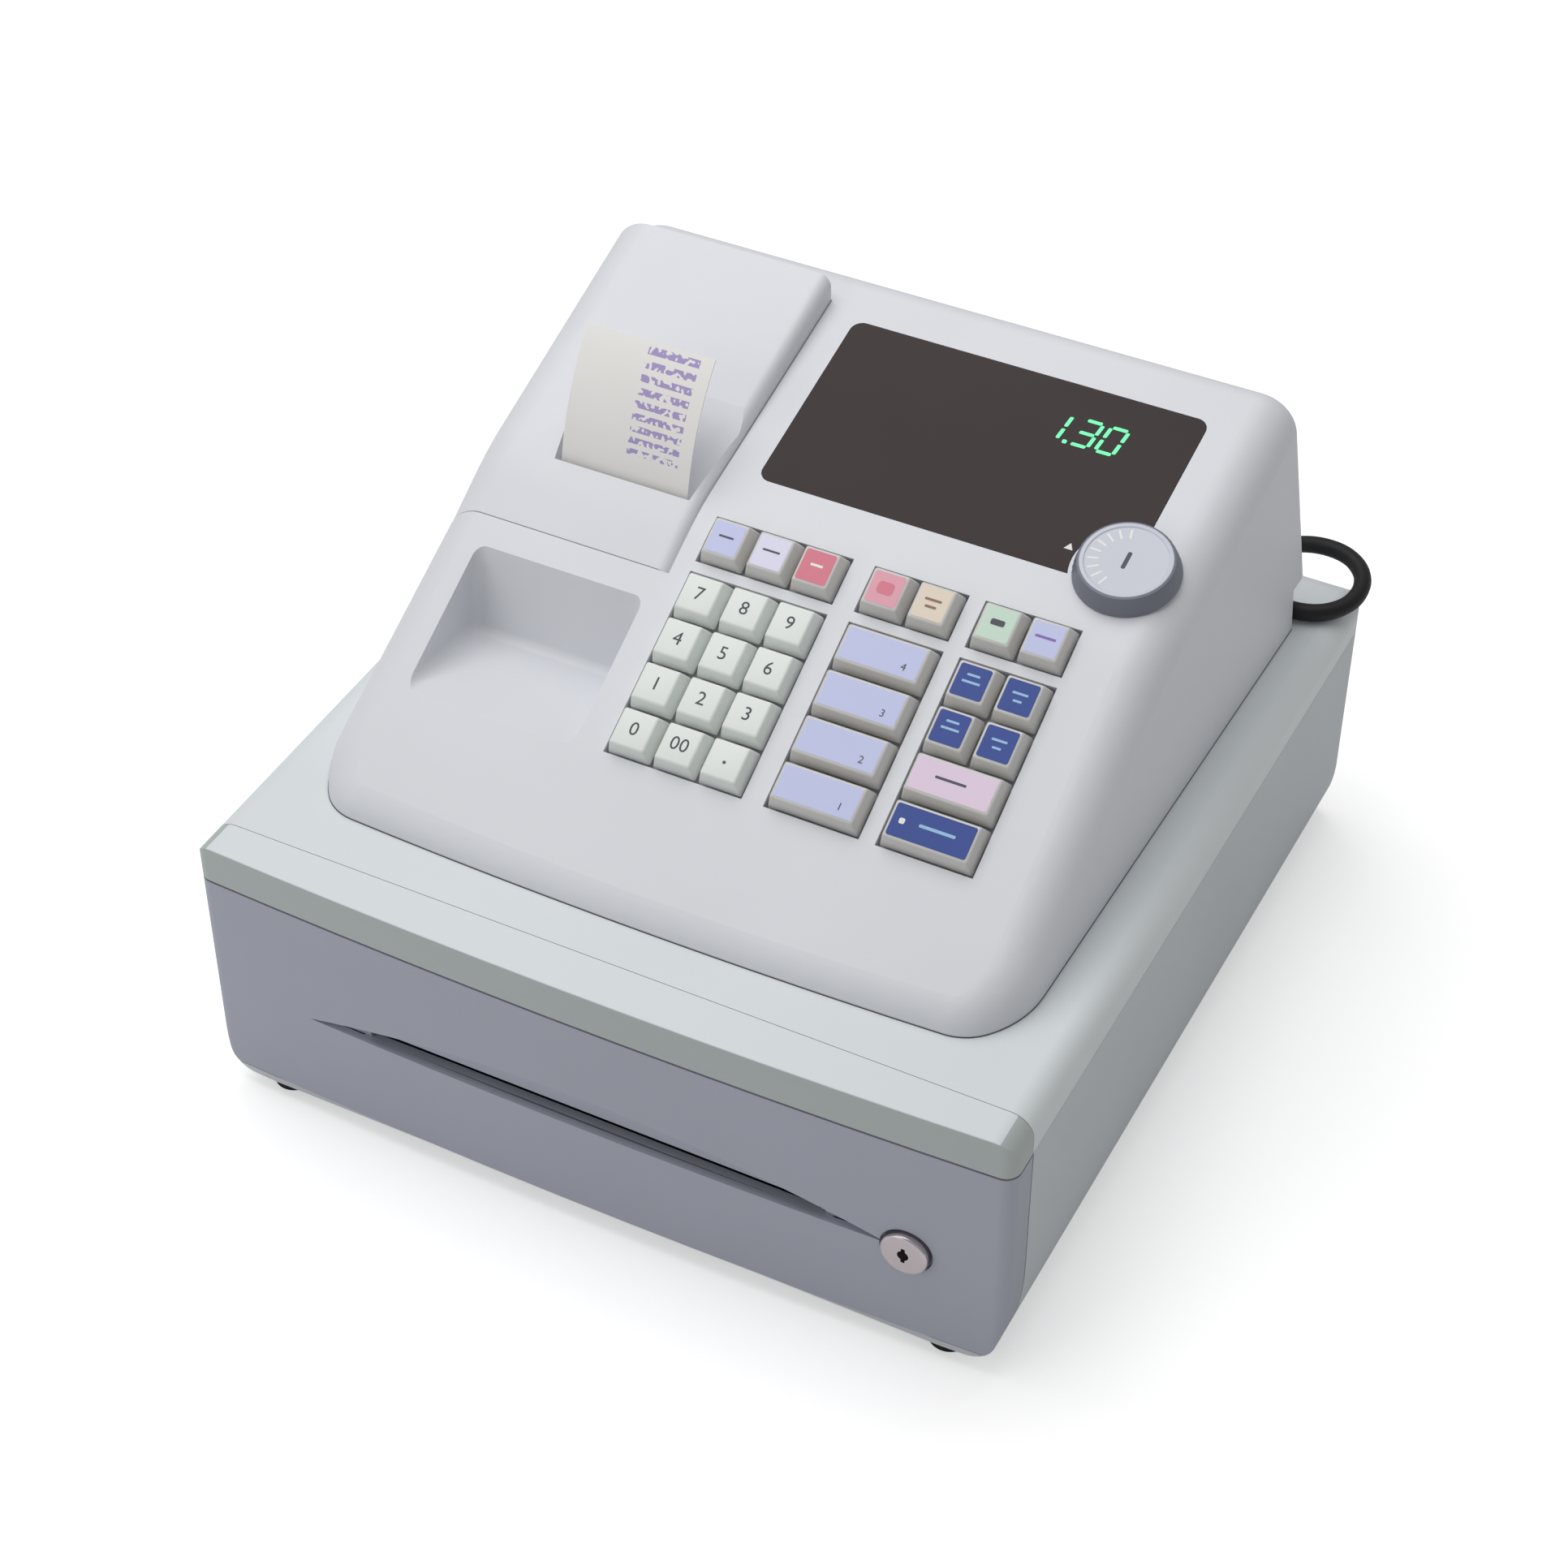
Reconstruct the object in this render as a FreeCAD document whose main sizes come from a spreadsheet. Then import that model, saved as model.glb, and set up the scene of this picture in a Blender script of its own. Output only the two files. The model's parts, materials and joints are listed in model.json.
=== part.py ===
"""Compact counter till: a cash drawer unit below, a sloped keyboard head with receipt printer above.

Millimetres, +Z up, front towards -Y, origin on the counter below the middle of the case.
"""
import FreeCAD, Part
import math
import os
import re
import Sketcher
from FreeCAD import Placement, Rotation, Vector

doc = FreeCAD.newDocument("ticket_register")
sheet = doc.addObject("Spreadsheet::Sheet", "Sizes")

DRIVING = {
    # drawer unit
    "unit_width": 330.0,
    "unit_depth": 345.0,
    "deck_height": 120.5,
    "foot_height": 7.0,
    "foot_radius": 8.0,
    "foot_inset_x": 140.0,
    "foot_inset_y": 158.0,
    "trim_height": 16.5,
    "trim_depth": 19.0,
    "front_bow": 3.85,
    "front_corner": 6.0,
    "rear_corner": 12.0,
    "top_round": 9.0,
    "belly_radius": 120.0,
    "belly_start": 44.0,
    "keel_radius": 12.0,
    "wall": 3.0,
    "seam_gap": 0.3,
    "drawer_gap": 0.9,
    "lip_thickness": 2.7,
    "lip_setback": 3.0,
    # drawer
    "panel_depth": 19.0,
    "slit_half": 94.3,
    "slit_height": 55.0,
    "slit_open": 6.5,
    "slit_depth": 14.0,
    "dish_half": 120.0,
    "dish_rise": 16.0,
    "dish_depth": 5.0,
    "lock_x": 126.8,
    "lock_z": 51.2,
    "lock_face_radius": 9.2,
    "lock_barrel_radius": 7.5,
    "lock_proud": 2.2,
    "lock_clearance": 0.1,
    "keyway_width": 1.6,
    "keyway_height": 7.0,
    "cam_length": 14.0,
    "cam_width": 8.0,
    "cam_thickness": 2.0,
    "box_half": 142.0,
    "box_back_gap": 56.0,
    "box_floor": 16.0,
    "box_height": 72.0,
    "box_wall": 2.5,
    "rail_half_gap": 118.0,
    "rail_width": 9.0,
    "glide_gap": 0.3,
    "tray_clearance": 0.5,
    "tray_height": 60.0,
    "tray_wall": 2.5,
    "coin_cups": 5.0,
    "coin_cup_length": 78.0,
    "coin_cup_round": 30.0,
    "note_wells": 3.0,
    "note_well_depth": 54.0,
    "clip_arm_width": 15.0,
    "clip_arm_thickness": 2.0,
    "clip_pin_radius": 2.0,
    "clip_ear_gap": 0.3,
    "clip_reach": 100.0,
    "clip_drop": 45.0,
    "spring_x": -60.0,
    "spring_z": 58.0,
    "spring_radius": 7.0,
    "spring_bore": 5.0,
    "lever_thickness": 4.0,
    "lever_inset": 22.5,
    "lever_z": 52.0,
    "lug_height": 40.0,
    # head
    "head_front": -135.0,
    "head_corner_x": 127.0,
    "head_corner_y": 36.0,
    "head_half_front": 143.7,
    "head_half_rear": 147.8,
    "head_draft": 3.5,
    "head_wall": 2.5,
    "panel_slope": 28.0,
    "panel_y": -118.0,
    "panel_rise": 13.8,
    "display_slope": 14.5,
    "ridge_y": 130.0,
    "ridge_rise": 111.1,
    "ridge_round": 8.0,
    "brow_y": 143.2,
    "brow_rise": 44.5,
    "channel_y": 132.0,
    "channel_rise": 19.2,
    "crease_round": 100.0,
    "shoulder_round": 16.0,
    "corner_round": 20.0,
    # scoop beside the keys
    "scoop_left": -121.5,
    "scoop_right": -50.0,
    "scoop_front": -87.5,
    "scoop_floor_y": -40.0,
    "scoop_floor_rise": 24.5,
    "scoop_back": -32.0,
    "scoop_round": 4.0,
    # keys
    "key_pitch_x": 18.6,
    "key_pitch_row": 19.0,
    "key_gap": 1.2,
    "key_proud": 5.6,
    "key_sunk": 1.5,
    "key_taper": 1.7,
    "key_travel": 3.5,
    "stem_side": 8.0,
    "stem_clearance": 0.3,
    "well_depth": 5.6,
    "well_margin": 1.0,
    "well_floor": 2.0,
    "number_x": -9.9,
    "section_x": 46.0,
    "payment_x": 90.3,
    "row_one": 103.2,
    "function_row": 127.1,
    "board_thickness": 1.6,
    # display
    "window_left": -32.3,
    "window_right": 114.2,
    "window_low": 24.0,
    "window_high": 106.0,
    "window_thickness": 1.5,
    "window_ledge": 4.0,
    "window_round": 5.0,
    "window_gap": 0.2,
    "tube_depth": 8.0,
    "customer_half": 40.0,
    "customer_low": 57.5,
    "customer_high": 87.5,
    # mode dial
    "dial_x": 114.0,
    "dial_y": 31.0,
    "dial_radius": 19.0,
    "dial_height": 8.0,
    "dial_lift": 0.3,
    "dial_shaft_radius": 4.0,
    "dial_shaft_length": 14.0,
    "dial_boss_length": 9.0,
    "dial_clearance": 0.1,
    # receipt printer
    "cover_front": -21.0,
    "cover_right": -46.0,
    "cover_back": 112.0,
    "cover_skirt": 14.0,
    "cover_tilt": 4.4,
    "cover_edge_round": 5.0,
    "cover_gap": 0.4,
    "rim_left": -138.0,
    "outlet_y": 5.0,
    "outlet_left": -108.0,
    "outlet_right": -50.5,
    "outlet_depth": 9.0,
    "outlet_length": 44.0,
    "outlet_flare": 9.0,
    "slot_width": 2.0,
    "paper_width": 54.0,
    "paper_thickness": 0.4,
    "paper_rise": 48.0,
    "paper_lean": 25.0,
    "roll_width": 57.0,
    "roll_radius": 24.0,
    "roll_core": 6.0,
    "roll_y": 78.0,
    "roll_rise": 47.5,
    "platen_radius": 6.0,
    "platen_y": 2.0,
    "platen_rise": 49.5,
    "ink_radius": 7.5,
    "ink_y": -11.5,
    "ink_rise": 45.5,
    "frame_wall": 2.5,
    "spindle_gap": 0.1,
    "transformer_x": 82.0,
    "transformer_y": 66.0,
    # mains lead
    "lead_radius": 3.5,
    "gland_x": 77.0,
    "gland_rise": 5.9,
    "hank_radius": 45.0,
    "hank_straight": 40.0,
}


def fill_sheet():
    """Writes every driving size into the sheet under its alias."""
    for row, (alias, value) in enumerate(DRIVING.items(), start=1):
        sheet.set(f"A{row}", alias)
        sheet.set(f"B{row}", str(value))
        sheet.setAlias(f"B{row}", alias)
    doc.recompute()


fill_sheet()
WORDS = re.compile(r"\b(" + "|".join(sorted(DRIVING, key=len, reverse=True)) + r")\b")


def formula(text):
    """Turns plain size words into references to the sheet."""
    return WORDS.sub(r"Sizes.\1", text)


def size(name):
    """Reads one size from the sheet as a plain number."""
    return float(getattr(sheet, name))


def bind(thing, **formulas):
    """Binds properties of an object, with underscores for dots, to size formulas."""
    for prop, text in formulas.items():
        thing.setExpression(prop.replace("__", "."), formula(text))


def box(name, corner, lengths, label=None):
    """A block from its low corner and its three lengths, each a formula."""
    block = doc.addObject("Part::Box", name)
    bind(block, Length=lengths[0], Width=lengths[1], Height=lengths[2])
    bind(block, Placement__Base__x=corner[0], Placement__Base__y=corner[1], Placement__Base__z=corner[2])
    block.Label = label or name
    return block


AXES = {"x": Rotation(Vector(0, 1, 0), 90), "y": Rotation(Vector(1, 0, 0), -90), "z": Rotation()}


def rod(name, start, radius, length, axis="z", label=None):
    """A cylinder from the middle of its first end, running along +X, +Y or +Z."""
    part = doc.addObject("Part::Cylinder", name)
    part.Placement = Placement(Vector(0, 0, 0), AXES[axis])
    bind(part, Radius=radius, Height=length)
    bind(part, Placement__Base__x=start[0], Placement__Base__y=start[1], Placement__Base__z=start[2])
    part.Label = label or name
    return part


def joined(name, pieces):
    """Fuses primitives into one named solid."""
    union = doc.addObject("Part::MultiFuse", name)
    union.Shapes = pieces
    union.Refine = True
    union.Label = name
    return union


def group(name, pieces):
    """Keeps like solids side by side under one name."""
    together = doc.addObject("Part::Compound", name)
    together.Links = pieces
    together.Label = name
    return together


def less(name, base, tools):
    """Cuts one or more tools from a base."""
    tool = tools[0]
    if len(tools) > 1:
        tool = joined(name + "_tools", tools)
    cut = doc.addObject("Part::Cut", name)
    cut.Base = base
    cut.Tool = tool
    cut.Refine = True
    cut.Label = name
    return cut


def shaped(name, shape, place=None):
    """A piece whose form is worked out below from the sheet's sizes."""
    feature = doc.addObject("Part::Feature", name)
    feature.Shape = shape
    if place:
        feature.Placement = place
    feature.Label = name
    return feature


def face_of(points):
    """A flat face through straight-sided corners."""
    return Part.Face(Part.makePolygon(points + points[:1]))


def block(low, high):
    """A plain block between two corners."""
    return Part.makeBox(high[0] - low[0], high[1] - low[1], high[2] - low[2], Vector(*low))


def side_prism(points, left, right):
    """A YZ outline carried along X."""
    return face_of([Vector(left, y, z) for y, z in points]).extrude(Vector(right - left, 0, 0))


# The drawer unit: three outlines crossed, so one form serves case, lid, trim and drawer front

HALF = size("unit_width") / 2
BACK = size("unit_depth") / 2
FRONT = -BACK
SIDE_FRONT = FRONT + size("front_bow")


def arc3(a, b, c):
    """An arc through three points."""
    return Part.Arc(a, b, c).toShape()


def line(a, b):
    """A straight edge."""
    return Part.makeLine(a, b)


def unit_section(inset):
    """Front view of the drawer unit: rounded top edges and a belly that turns in below."""
    half = HALF - inset
    top = size("deck_height") - inset
    low = size("foot_height") + inset
    crown = max(size("top_round") - inset, 1.0)
    keel = max(size("keel_radius") - inset, 1.0)
    belly = size("belly_radius") - inset
    centre = half - belly
    start = size("belly_start")
    tilt = math.asin((start - low - keel) / (belly - keel))
    kx = centre + (belly - keel) * math.cos(tilt)
    kz = start - (belly - keel) * math.sin(tilt)
    halfway = (math.pi / 2 - tilt) / 2
    at = [
        (kx, kz - keel),
        (kx + keel * math.sin(halfway), kz - keel * math.cos(halfway)),
        (kx + keel * math.cos(tilt), kz - keel * math.sin(tilt)),
        (centre + belly * math.cos(tilt / 2), start - belly * math.sin(tilt / 2)),
        (half, start),
        (half, top - crown),
        (half - crown + crown * math.cos(math.pi / 4), top - crown + crown * math.sin(math.pi / 4)),
        (half - crown, top),
    ]
    p = [Vector(x, 0, z) for x, z in at]
    q = [Vector(-x, 0, z) for x, z in at]
    right = [arc3(p[0], p[1], p[2]), arc3(p[2], p[3], p[4]), line(p[4], p[5]), arc3(p[5], p[6], p[7])]
    left = [arc3(q[7], q[6], q[5]), line(q[5], q[4]), arc3(q[4], q[3], q[2]), arc3(q[2], q[1], q[0])]
    return Part.Wire(right + [line(p[7], q[7])] + left + [line(q[0], p[0])])


def unit_plan(inset):
    """Plan of the drawer unit: bowed front, small front corners, rounder rear corners."""
    half = HALF - inset
    front = FRONT + inset
    side = SIDE_FRONT + inset
    back = BACK - inset
    small = max(size("front_corner") - inset, 1.0)
    large = max(size("rear_corner") - inset, 1.0)
    turn = math.sqrt(0.5)
    a = Vector(-half + small, side, 0)
    b = Vector(half - small, side, 0)
    c = Vector(half, side + small, 0)
    d = Vector(half, back - large, 0)
    e = Vector(half - large, back, 0)
    f = Vector(-half + large, back, 0)
    g = Vector(-half, back - large, 0)
    i = Vector(-half, side + small, 0)
    edges = [
        arc3(a, Vector(0, front, 0), b),
        arc3(b, Vector(half - small + small * turn, side + small - small * turn, 0), c),
        line(c, d),
        arc3(d, Vector(half - large + large * turn, back - large + large * turn, 0), e),
        line(e, f),
        arc3(f, Vector(-half + large - large * turn, back - large + large * turn, 0), g),
        line(g, i),
        arc3(i, Vector(-half + small - small * turn, side + small - small * turn, 0), a),
    ]
    return Part.Wire(edges)


def unit_side(inset):
    """Side view of the drawer unit: square front, rounded top rear edge."""
    top = size("deck_height") - inset
    back = BACK - inset
    crown = max(size("top_round") - inset, 1.0)
    turn = math.sqrt(0.5)
    a = Vector(0, FRONT - 1, 0)
    b = Vector(0, back, 0)
    c = Vector(0, back, top - crown)
    d = Vector(0, back - crown, top)
    e = Vector(0, FRONT - 1, top)
    bend = Vector(0, back - crown + crown * turn, top - crown + crown * turn)
    return Part.Wire([line(a, b), line(b, c), arc3(c, bend, d), line(d, e), line(e, a)])


def unit_solid(inset):
    """The drawer unit's whole outer form, or its inner form at a wall's depth."""
    tall = size("deck_height") + 10
    section = Part.Face(unit_section(inset))
    section.translate(Vector(0, FRONT - 5, 0))
    along = section.extrude(Vector(0, 2 * BACK + 10, 0))
    up = Part.Face(unit_plan(inset)).extrude(Vector(0, 0, tall))
    across = Part.Face(unit_side(inset))
    across.translate(Vector(-HALF - 5, 0, 0))
    across = across.extrude(Vector(2 * HALF + 10, 0, 0))
    return across.common(up).common(along)


UNIT = unit_solid(0)
UNIT_INSIDE = unit_solid(size("wall"))
SEAM = size("deck_height") - size("trim_height")
GAP = size("seam_gap")
TRIM_Y = FRONT + size("trim_depth")
PANEL_Y = FRONT + size("panel_depth")
DECK = size("deck_height")
WIDE = 400.0
LIP_TOP = size("foot_height") + size("lip_thickness")


def above(name):
    """A height that the sheet gives as a rise above the deck."""
    return DECK + size(name)


def lower_case():
    """Tub of the drawer unit: floor with a lip under the drawer front, sides, back and two rails."""
    room = block((-WIDE, PANEL_Y + size("drawer_gap"), 0), (WIDE, WIDE, SEAM - GAP / 2))
    tub = UNIT.common(room).cut(UNIT_INSIDE)
    lip = block((-WIDE, FRONT + size("lip_setback"), 0), (WIDE, PANEL_Y + 5, LIP_TOP))
    tub = tub.fuse(UNIT.common(lip))
    floor = size("foot_height") + size("wall")
    top = size("box_floor") - size("glide_gap")
    for side in (-1, 1):
        middle = side * size("rail_half_gap")
        low = (middle - size("rail_width") / 2, PANEL_Y + 6, floor - 1)
        high = (middle + size("rail_width") / 2, BACK - 30, top)
        tub = tub.fuse(block(low, high))
    boss = Part.makeCylinder(size("spring_bore") - 0.5, 12, SPRING_END, Vector(0, -1, 0))
    return tub.fuse(boss).removeSplitter()


def top_lid():
    """Lid of the drawer unit, behind the front strip, with an opening for the head's wiring."""
    room = block((-WIDE, TRIM_Y + GAP / 2, SEAM + GAP / 2), (WIDE, WIDE, WIDE))
    lid = UNIT.common(room).cut(UNIT_INSIDE)
    opening = block((-60, -40, DECK - 10), (60, 60, DECK + 1))
    return lid.cut(opening).removeSplitter()


def front_strip():
    """The bowed strip above the drawer, with its own floor that the drawer front closes under."""
    room = block((-WIDE, -WIDE, SEAM + GAP / 2), (WIDE, TRIM_Y - GAP / 2, WIDE))
    strip = UNIT.common(room)
    hollow = UNIT_INSIDE.common(block((-WIDE, -WIDE, SEAM + size("wall")), (WIDE, WIDE, WIDE)))
    return strip.cut(hollow).removeSplitter()


def drawer_panel():
    """Drawer front: a bowed shell with a finger slit at the foot of a shallow lens-shaped dish."""
    top = SEAM - size("drawer_gap")
    low = LIP_TOP + GAP
    panel = UNIT.common(block((-WIDE, -WIDE, low), (WIDE, PANEL_Y, top)))
    hollow = UNIT_INSIDE.common(block((-WIDE, -WIDE, low + size("wall")), (WIDE, WIDE, top - size("wall"))))
    panel = panel.cut(hollow)
    half = size("slit_half")
    mid = size("slit_height")
    low = mid - size("slit_open") / 2
    high = mid + size("slit_open") / 2
    lining = block((-half - 3, FRONT + 4, low - 3), (half + 3, FRONT + size("slit_depth") + 3, high + 8))
    lining = lining.common(UNIT)
    panel = panel.fuse(lining)
    rise = size("dish_rise")
    wide = size("dish_half")
    lens_radius = (wide * wide + rise * rise) / (2 * rise)
    lens = Part.makeCylinder(lens_radius, 200, Vector(0, -250, low + rise - lens_radius), Vector(0, 1, 0))
    above = block((-wide, -WIDE, low), (wide, WIDE, low + rise))
    edge = Vector(-WIDE, FRONT + size("dish_depth"), low)
    tilt = Part.makeBox(2 * WIDE, 60, 60, edge - Vector(0, 60, 0))
    tilt.rotate(edge, Vector(1, 0, 0), math.degrees(math.atan(size("dish_depth") / rise)))
    dish = lens.common(above).common(tilt)
    backing = dish.copy()
    backing.translate(Vector(0, size("wall"), 0))
    panel = panel.fuse(backing.common(UNIT)).cut(dish)
    panel = panel.cut(block((-half, FRONT - 5, low), (half, FRONT + size("slit_depth"), high)))
    bore = size("lock_barrel_radius") + size("lock_clearance")
    hole = Part.makeCylinder(bore, 60, Vector(size("lock_x"), FRONT - 10, size("lock_z")), Vector(0, 1, 0))
    pad_y = LOCK_SEAT
    pad = Part.makeCylinder(size("lock_face_radius") + 3, 8, Vector(size("lock_x"), pad_y, size("lock_z")), Vector(0, 1, 0))
    face = Part.makeCylinder(size("lock_face_radius") + 1, 30, Vector(size("lock_x"), pad_y - 30, size("lock_z")), Vector(0, 1, 0))
    return panel.fuse(pad).cut(face).cut(hole).removeSplitter()


LOCK_SURFACE = FRONT + size("front_bow") * (size("lock_x") / HALF) ** 2
LOCK_SEAT = LOCK_SURFACE + 2.8
SPRING_END = Vector(size("spring_x"), BACK - size("wall"), size("spring_z"))

lower_base = shaped("lower_base", lower_case())
lower_cover = shaped("lower_cover", top_lid())
front_trim = shaped("front_trim", front_strip())
drawer_front = shaped("drawer_front", drawer_panel())


def sprung_feet():
    """Four rubber feet, one under each corner."""
    feet = []
    for index, (sx, sy) in enumerate(((-1, -1), (1, -1), (-1, 1), (1, 1))):
        start = (f"{sx} * foot_inset_x", f"{sy} * foot_inset_y", "0")
        feet.append(rod(f"foot_{index}", start, "foot_radius", "foot_height"))
    return group("rubber_feet", feet)


rubber_feet = sprung_feet()

# Drawer box, coin tray and note clips

def drawer_body():
    """Moulded drawer box: a padded outline with one deep pocket."""
    body = doc.addObject("PartDesign::Body", "drawer_moulding")
    ground = [f for f in body.Origin.OriginFeatures if f.Role == "XY_Plane"][0]

    def rectangle(name, half_x, low_y, length, height):
        sketch = body.newObject("Sketcher::SketchObject", name)
        sketch.AttachmentSupport = [(ground, "")]
        sketch.MapMode = "FlatFace"
        bind(sketch, AttachmentOffset__Base__z=height)
        corners = [Vector(-10, 0, 0), Vector(10, 0, 0), Vector(10, 10, 0), Vector(-10, 10, 0)]
        for k in range(4):
            sketch.addGeometry(Part.LineSegment(corners[k], corners[(k + 1) % 4]), False)
        for k in range(4):
            sketch.addConstraint(Sketcher.Constraint("Coincident", k, 2, (k + 1) % 4, 1))
        sketch.addConstraint(Sketcher.Constraint("Horizontal", 0))
        sketch.addConstraint(Sketcher.Constraint("Horizontal", 2))
        sketch.addConstraint(Sketcher.Constraint("Vertical", 1))
        sketch.addConstraint(Sketcher.Constraint("Vertical", 3))
        wide = sketch.addConstraint(Sketcher.Constraint("DistanceX", 0, 1, 0, 2, 20))
        deep = sketch.addConstraint(Sketcher.Constraint("DistanceY", 1, 1, 1, 2, 10))
        left = sketch.addConstraint(Sketcher.Constraint("DistanceX", 0, 1, -1, 1, 10))
        near = sketch.addConstraint(Sketcher.Constraint("DistanceY", 0, 1, -1, 1, 5))
        for index, text in ((wide, f"2 * ({half_x})"), (deep, length), (left, half_x), (near, f"-({low_y})")):
            sketch.setExpression(f"Constraints[{index}]", formula(text))
        return sketch

    start = "-unit_depth / 2 + panel_depth"
    length = "unit_depth - panel_depth - box_back_gap"
    outline = rectangle("box_outline", "box_half", start, length, "box_floor")
    pad = body.newObject("PartDesign::Pad", "box_pad")
    pad.Profile = outline
    bind(pad, Length="box_height")
    doc.recompute()
    opening = rectangle("box_opening", "box_half - box_wall", start + " + box_wall",
                        length + " - 2 * box_wall", "box_floor + box_height")
    pocket = body.newObject("PartDesign::Pocket", "box_pocket")
    pocket.Profile = opening
    bind(pocket, Length="box_height - box_wall")
    doc.recompute()
    body.Tip = pocket
    return body


BOX_Y = PANEL_Y
BOX_END = BACK - size("box_back_gap")
HOOK_Y = BOX_END + 2.2

drawer_box = drawer_body()
drawer_box.Label = "drawer_box"
TRAY_LOW = size("box_floor") + size("box_wall") + GAP
TRAY_HALF = size("box_half") - size("box_wall") - size("tray_clearance")
TRAY_FRONT = BOX_Y + size("box_wall") + size("tray_clearance")
TRAY_BACK = BOX_END - size("box_wall") - size("tray_clearance")
TRAY_TOP = TRAY_LOW + size("tray_height")
CUPS = int(size("coin_cups"))
WELLS = int(size("note_wells"))
CUP_PITCH = (2 * TRAY_HALF - size("tray_wall")) / CUPS
WELL_PITCH = (2 * TRAY_HALF - size("tray_wall")) / WELLS
CUP_BACK = TRAY_FRONT + size("tray_wall") + size("coin_cup_length")
WELL_FRONT = CUP_BACK + size("tray_wall")
WELL_BACK = TRAY_BACK - size("tray_wall") - 14
WELL_FLOOR = TRAY_TOP - size("note_well_depth")
PIN_Y = WELL_BACK - 6
PIN_Z = TRAY_TOP - 6


def well_middle(index):
    """Middle of a note well across the drawer."""
    return -TRAY_HALF + size("tray_wall") / 2 + WELL_PITCH * (index + 0.5)


def coin_tray_solid():
    """Lift-out tray: scooped coin cups in front, square note wells behind, pins for the clips."""
    tray = block((-TRAY_HALF, TRAY_FRONT, TRAY_LOW), (TRAY_HALF, TRAY_BACK, TRAY_TOP))
    wall = size("tray_wall")
    round_ = size("coin_cup_round")
    for index in range(CUPS):
        left = -TRAY_HALF + wall / 2 + CUP_PITCH * index + wall / 2
        right = left + CUP_PITCH - wall
        low_y = TRAY_FRONT + wall
        floor = TRAY_TOP - 44
        front_curve = Part.makeCylinder(round_, right - left, Vector(left, low_y + round_, floor + round_), Vector(1, 0, 0))
        back_curve = Part.makeCylinder(round_, right - left, Vector(left, CUP_BACK - round_, floor + round_), Vector(1, 0, 0))
        middle = block((left, low_y + round_, floor), (right, CUP_BACK - round_, TRAY_TOP + 1))
        upper = block((left, low_y, floor + round_), (right, CUP_BACK, TRAY_TOP + 1))
        tray = tray.cut(front_curve.fuse(back_curve).fuse(middle).fuse(upper))
    for index in range(WELLS):
        middle = well_middle(index)
        half = (WELL_PITCH - wall) / 2
        tray = tray.cut(block((middle - half, WELL_FRONT, WELL_FLOOR), (middle + half, WELL_BACK, TRAY_TOP + 1)))
        ear_gap = size("clip_arm_width") / 2 + size("clip_ear_gap")
        for side in (-1, 1):
            near = middle + side * ear_gap
            far = near + side * 3
            low = (min(near, far), PIN_Y - 5, PIN_Z - 6)
            tray = tray.fuse(block(low, (max(near, far), WELL_BACK + 1, TRAY_TOP)))
        pin = Part.makeCylinder(size("clip_pin_radius"), 2 * ear_gap + 4, Vector(middle - ear_gap - 2, PIN_Y, PIN_Z), Vector(1, 0, 0))
        tray = tray.fuse(pin)
    pocket = block((-TRAY_HALF + wall, WELL_BACK + wall, TRAY_LOW + wall), (TRAY_HALF - wall, TRAY_BACK - wall, TRAY_TOP + 1))
    return tray.cut(pocket).removeSplitter()


coin_tray = shaped("coin_tray", coin_tray_solid())


def note_clip(index):
    """Sprung note clip: an eye on the pin, an arm that drops forward, and a curled foot."""
    eye = size("clip_pin_radius") + 2.2
    bore = size("clip_pin_radius") + 0.1
    thick = size("clip_arm_thickness")
    tip_y = PIN_Y - size("clip_reach")
    tip_z = PIN_Z - size("clip_drop")
    left = well_middle(index) - size("clip_arm_width") / 2
    run = Vector(0, PIN_Y - tip_y, PIN_Z - tip_z)
    run.normalize()
    across = Vector(0, -run.z, run.y)
    start = Vector(left, PIN_Y, PIN_Z) + across * (eye - thick)
    foot = Vector(left, tip_y, tip_z) + across * (eye - thick)
    arm = face_of([start, foot, foot + across * thick, start + across * thick])
    arm = arm.extrude(Vector(size("clip_arm_width"), 0, 0))
    width = Vector(size("clip_arm_width"), 0, 0)
    ring = Part.makeCylinder(eye, width.x, Vector(left, PIN_Y, PIN_Z), Vector(1, 0, 0))
    curl = Part.makeCylinder(3.0, width.x, foot - across * (3.0 - thick), Vector(1, 0, 0))
    hole = Part.makeCylinder(bore, width.x, Vector(left, PIN_Y, PIN_Z), Vector(1, 0, 0))
    return ring.fuse(arm).fuse(curl).cut(hole).removeSplitter()


note_clips = [shaped(f"note_clip_{index + 1}", note_clip(index)) for index in range(WELLS)]

kick_tube = rod("kick_outer", ("spring_x", f"{BOX_END} + 0.3", f"{SPRING_END.z}"), "spring_radius",
                f"unit_depth / 2 - wall - {BOX_END} - 0.6", "y")
kick_bore = rod("kick_bore", ("spring_x", f"{BOX_END}", f"{SPRING_END.z}"), "spring_bore",
                f"unit_depth / 2 - wall - {BOX_END} + 1", "y")
kick_spring = less("kick_spring", kick_tube, [kick_bore])


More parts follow.
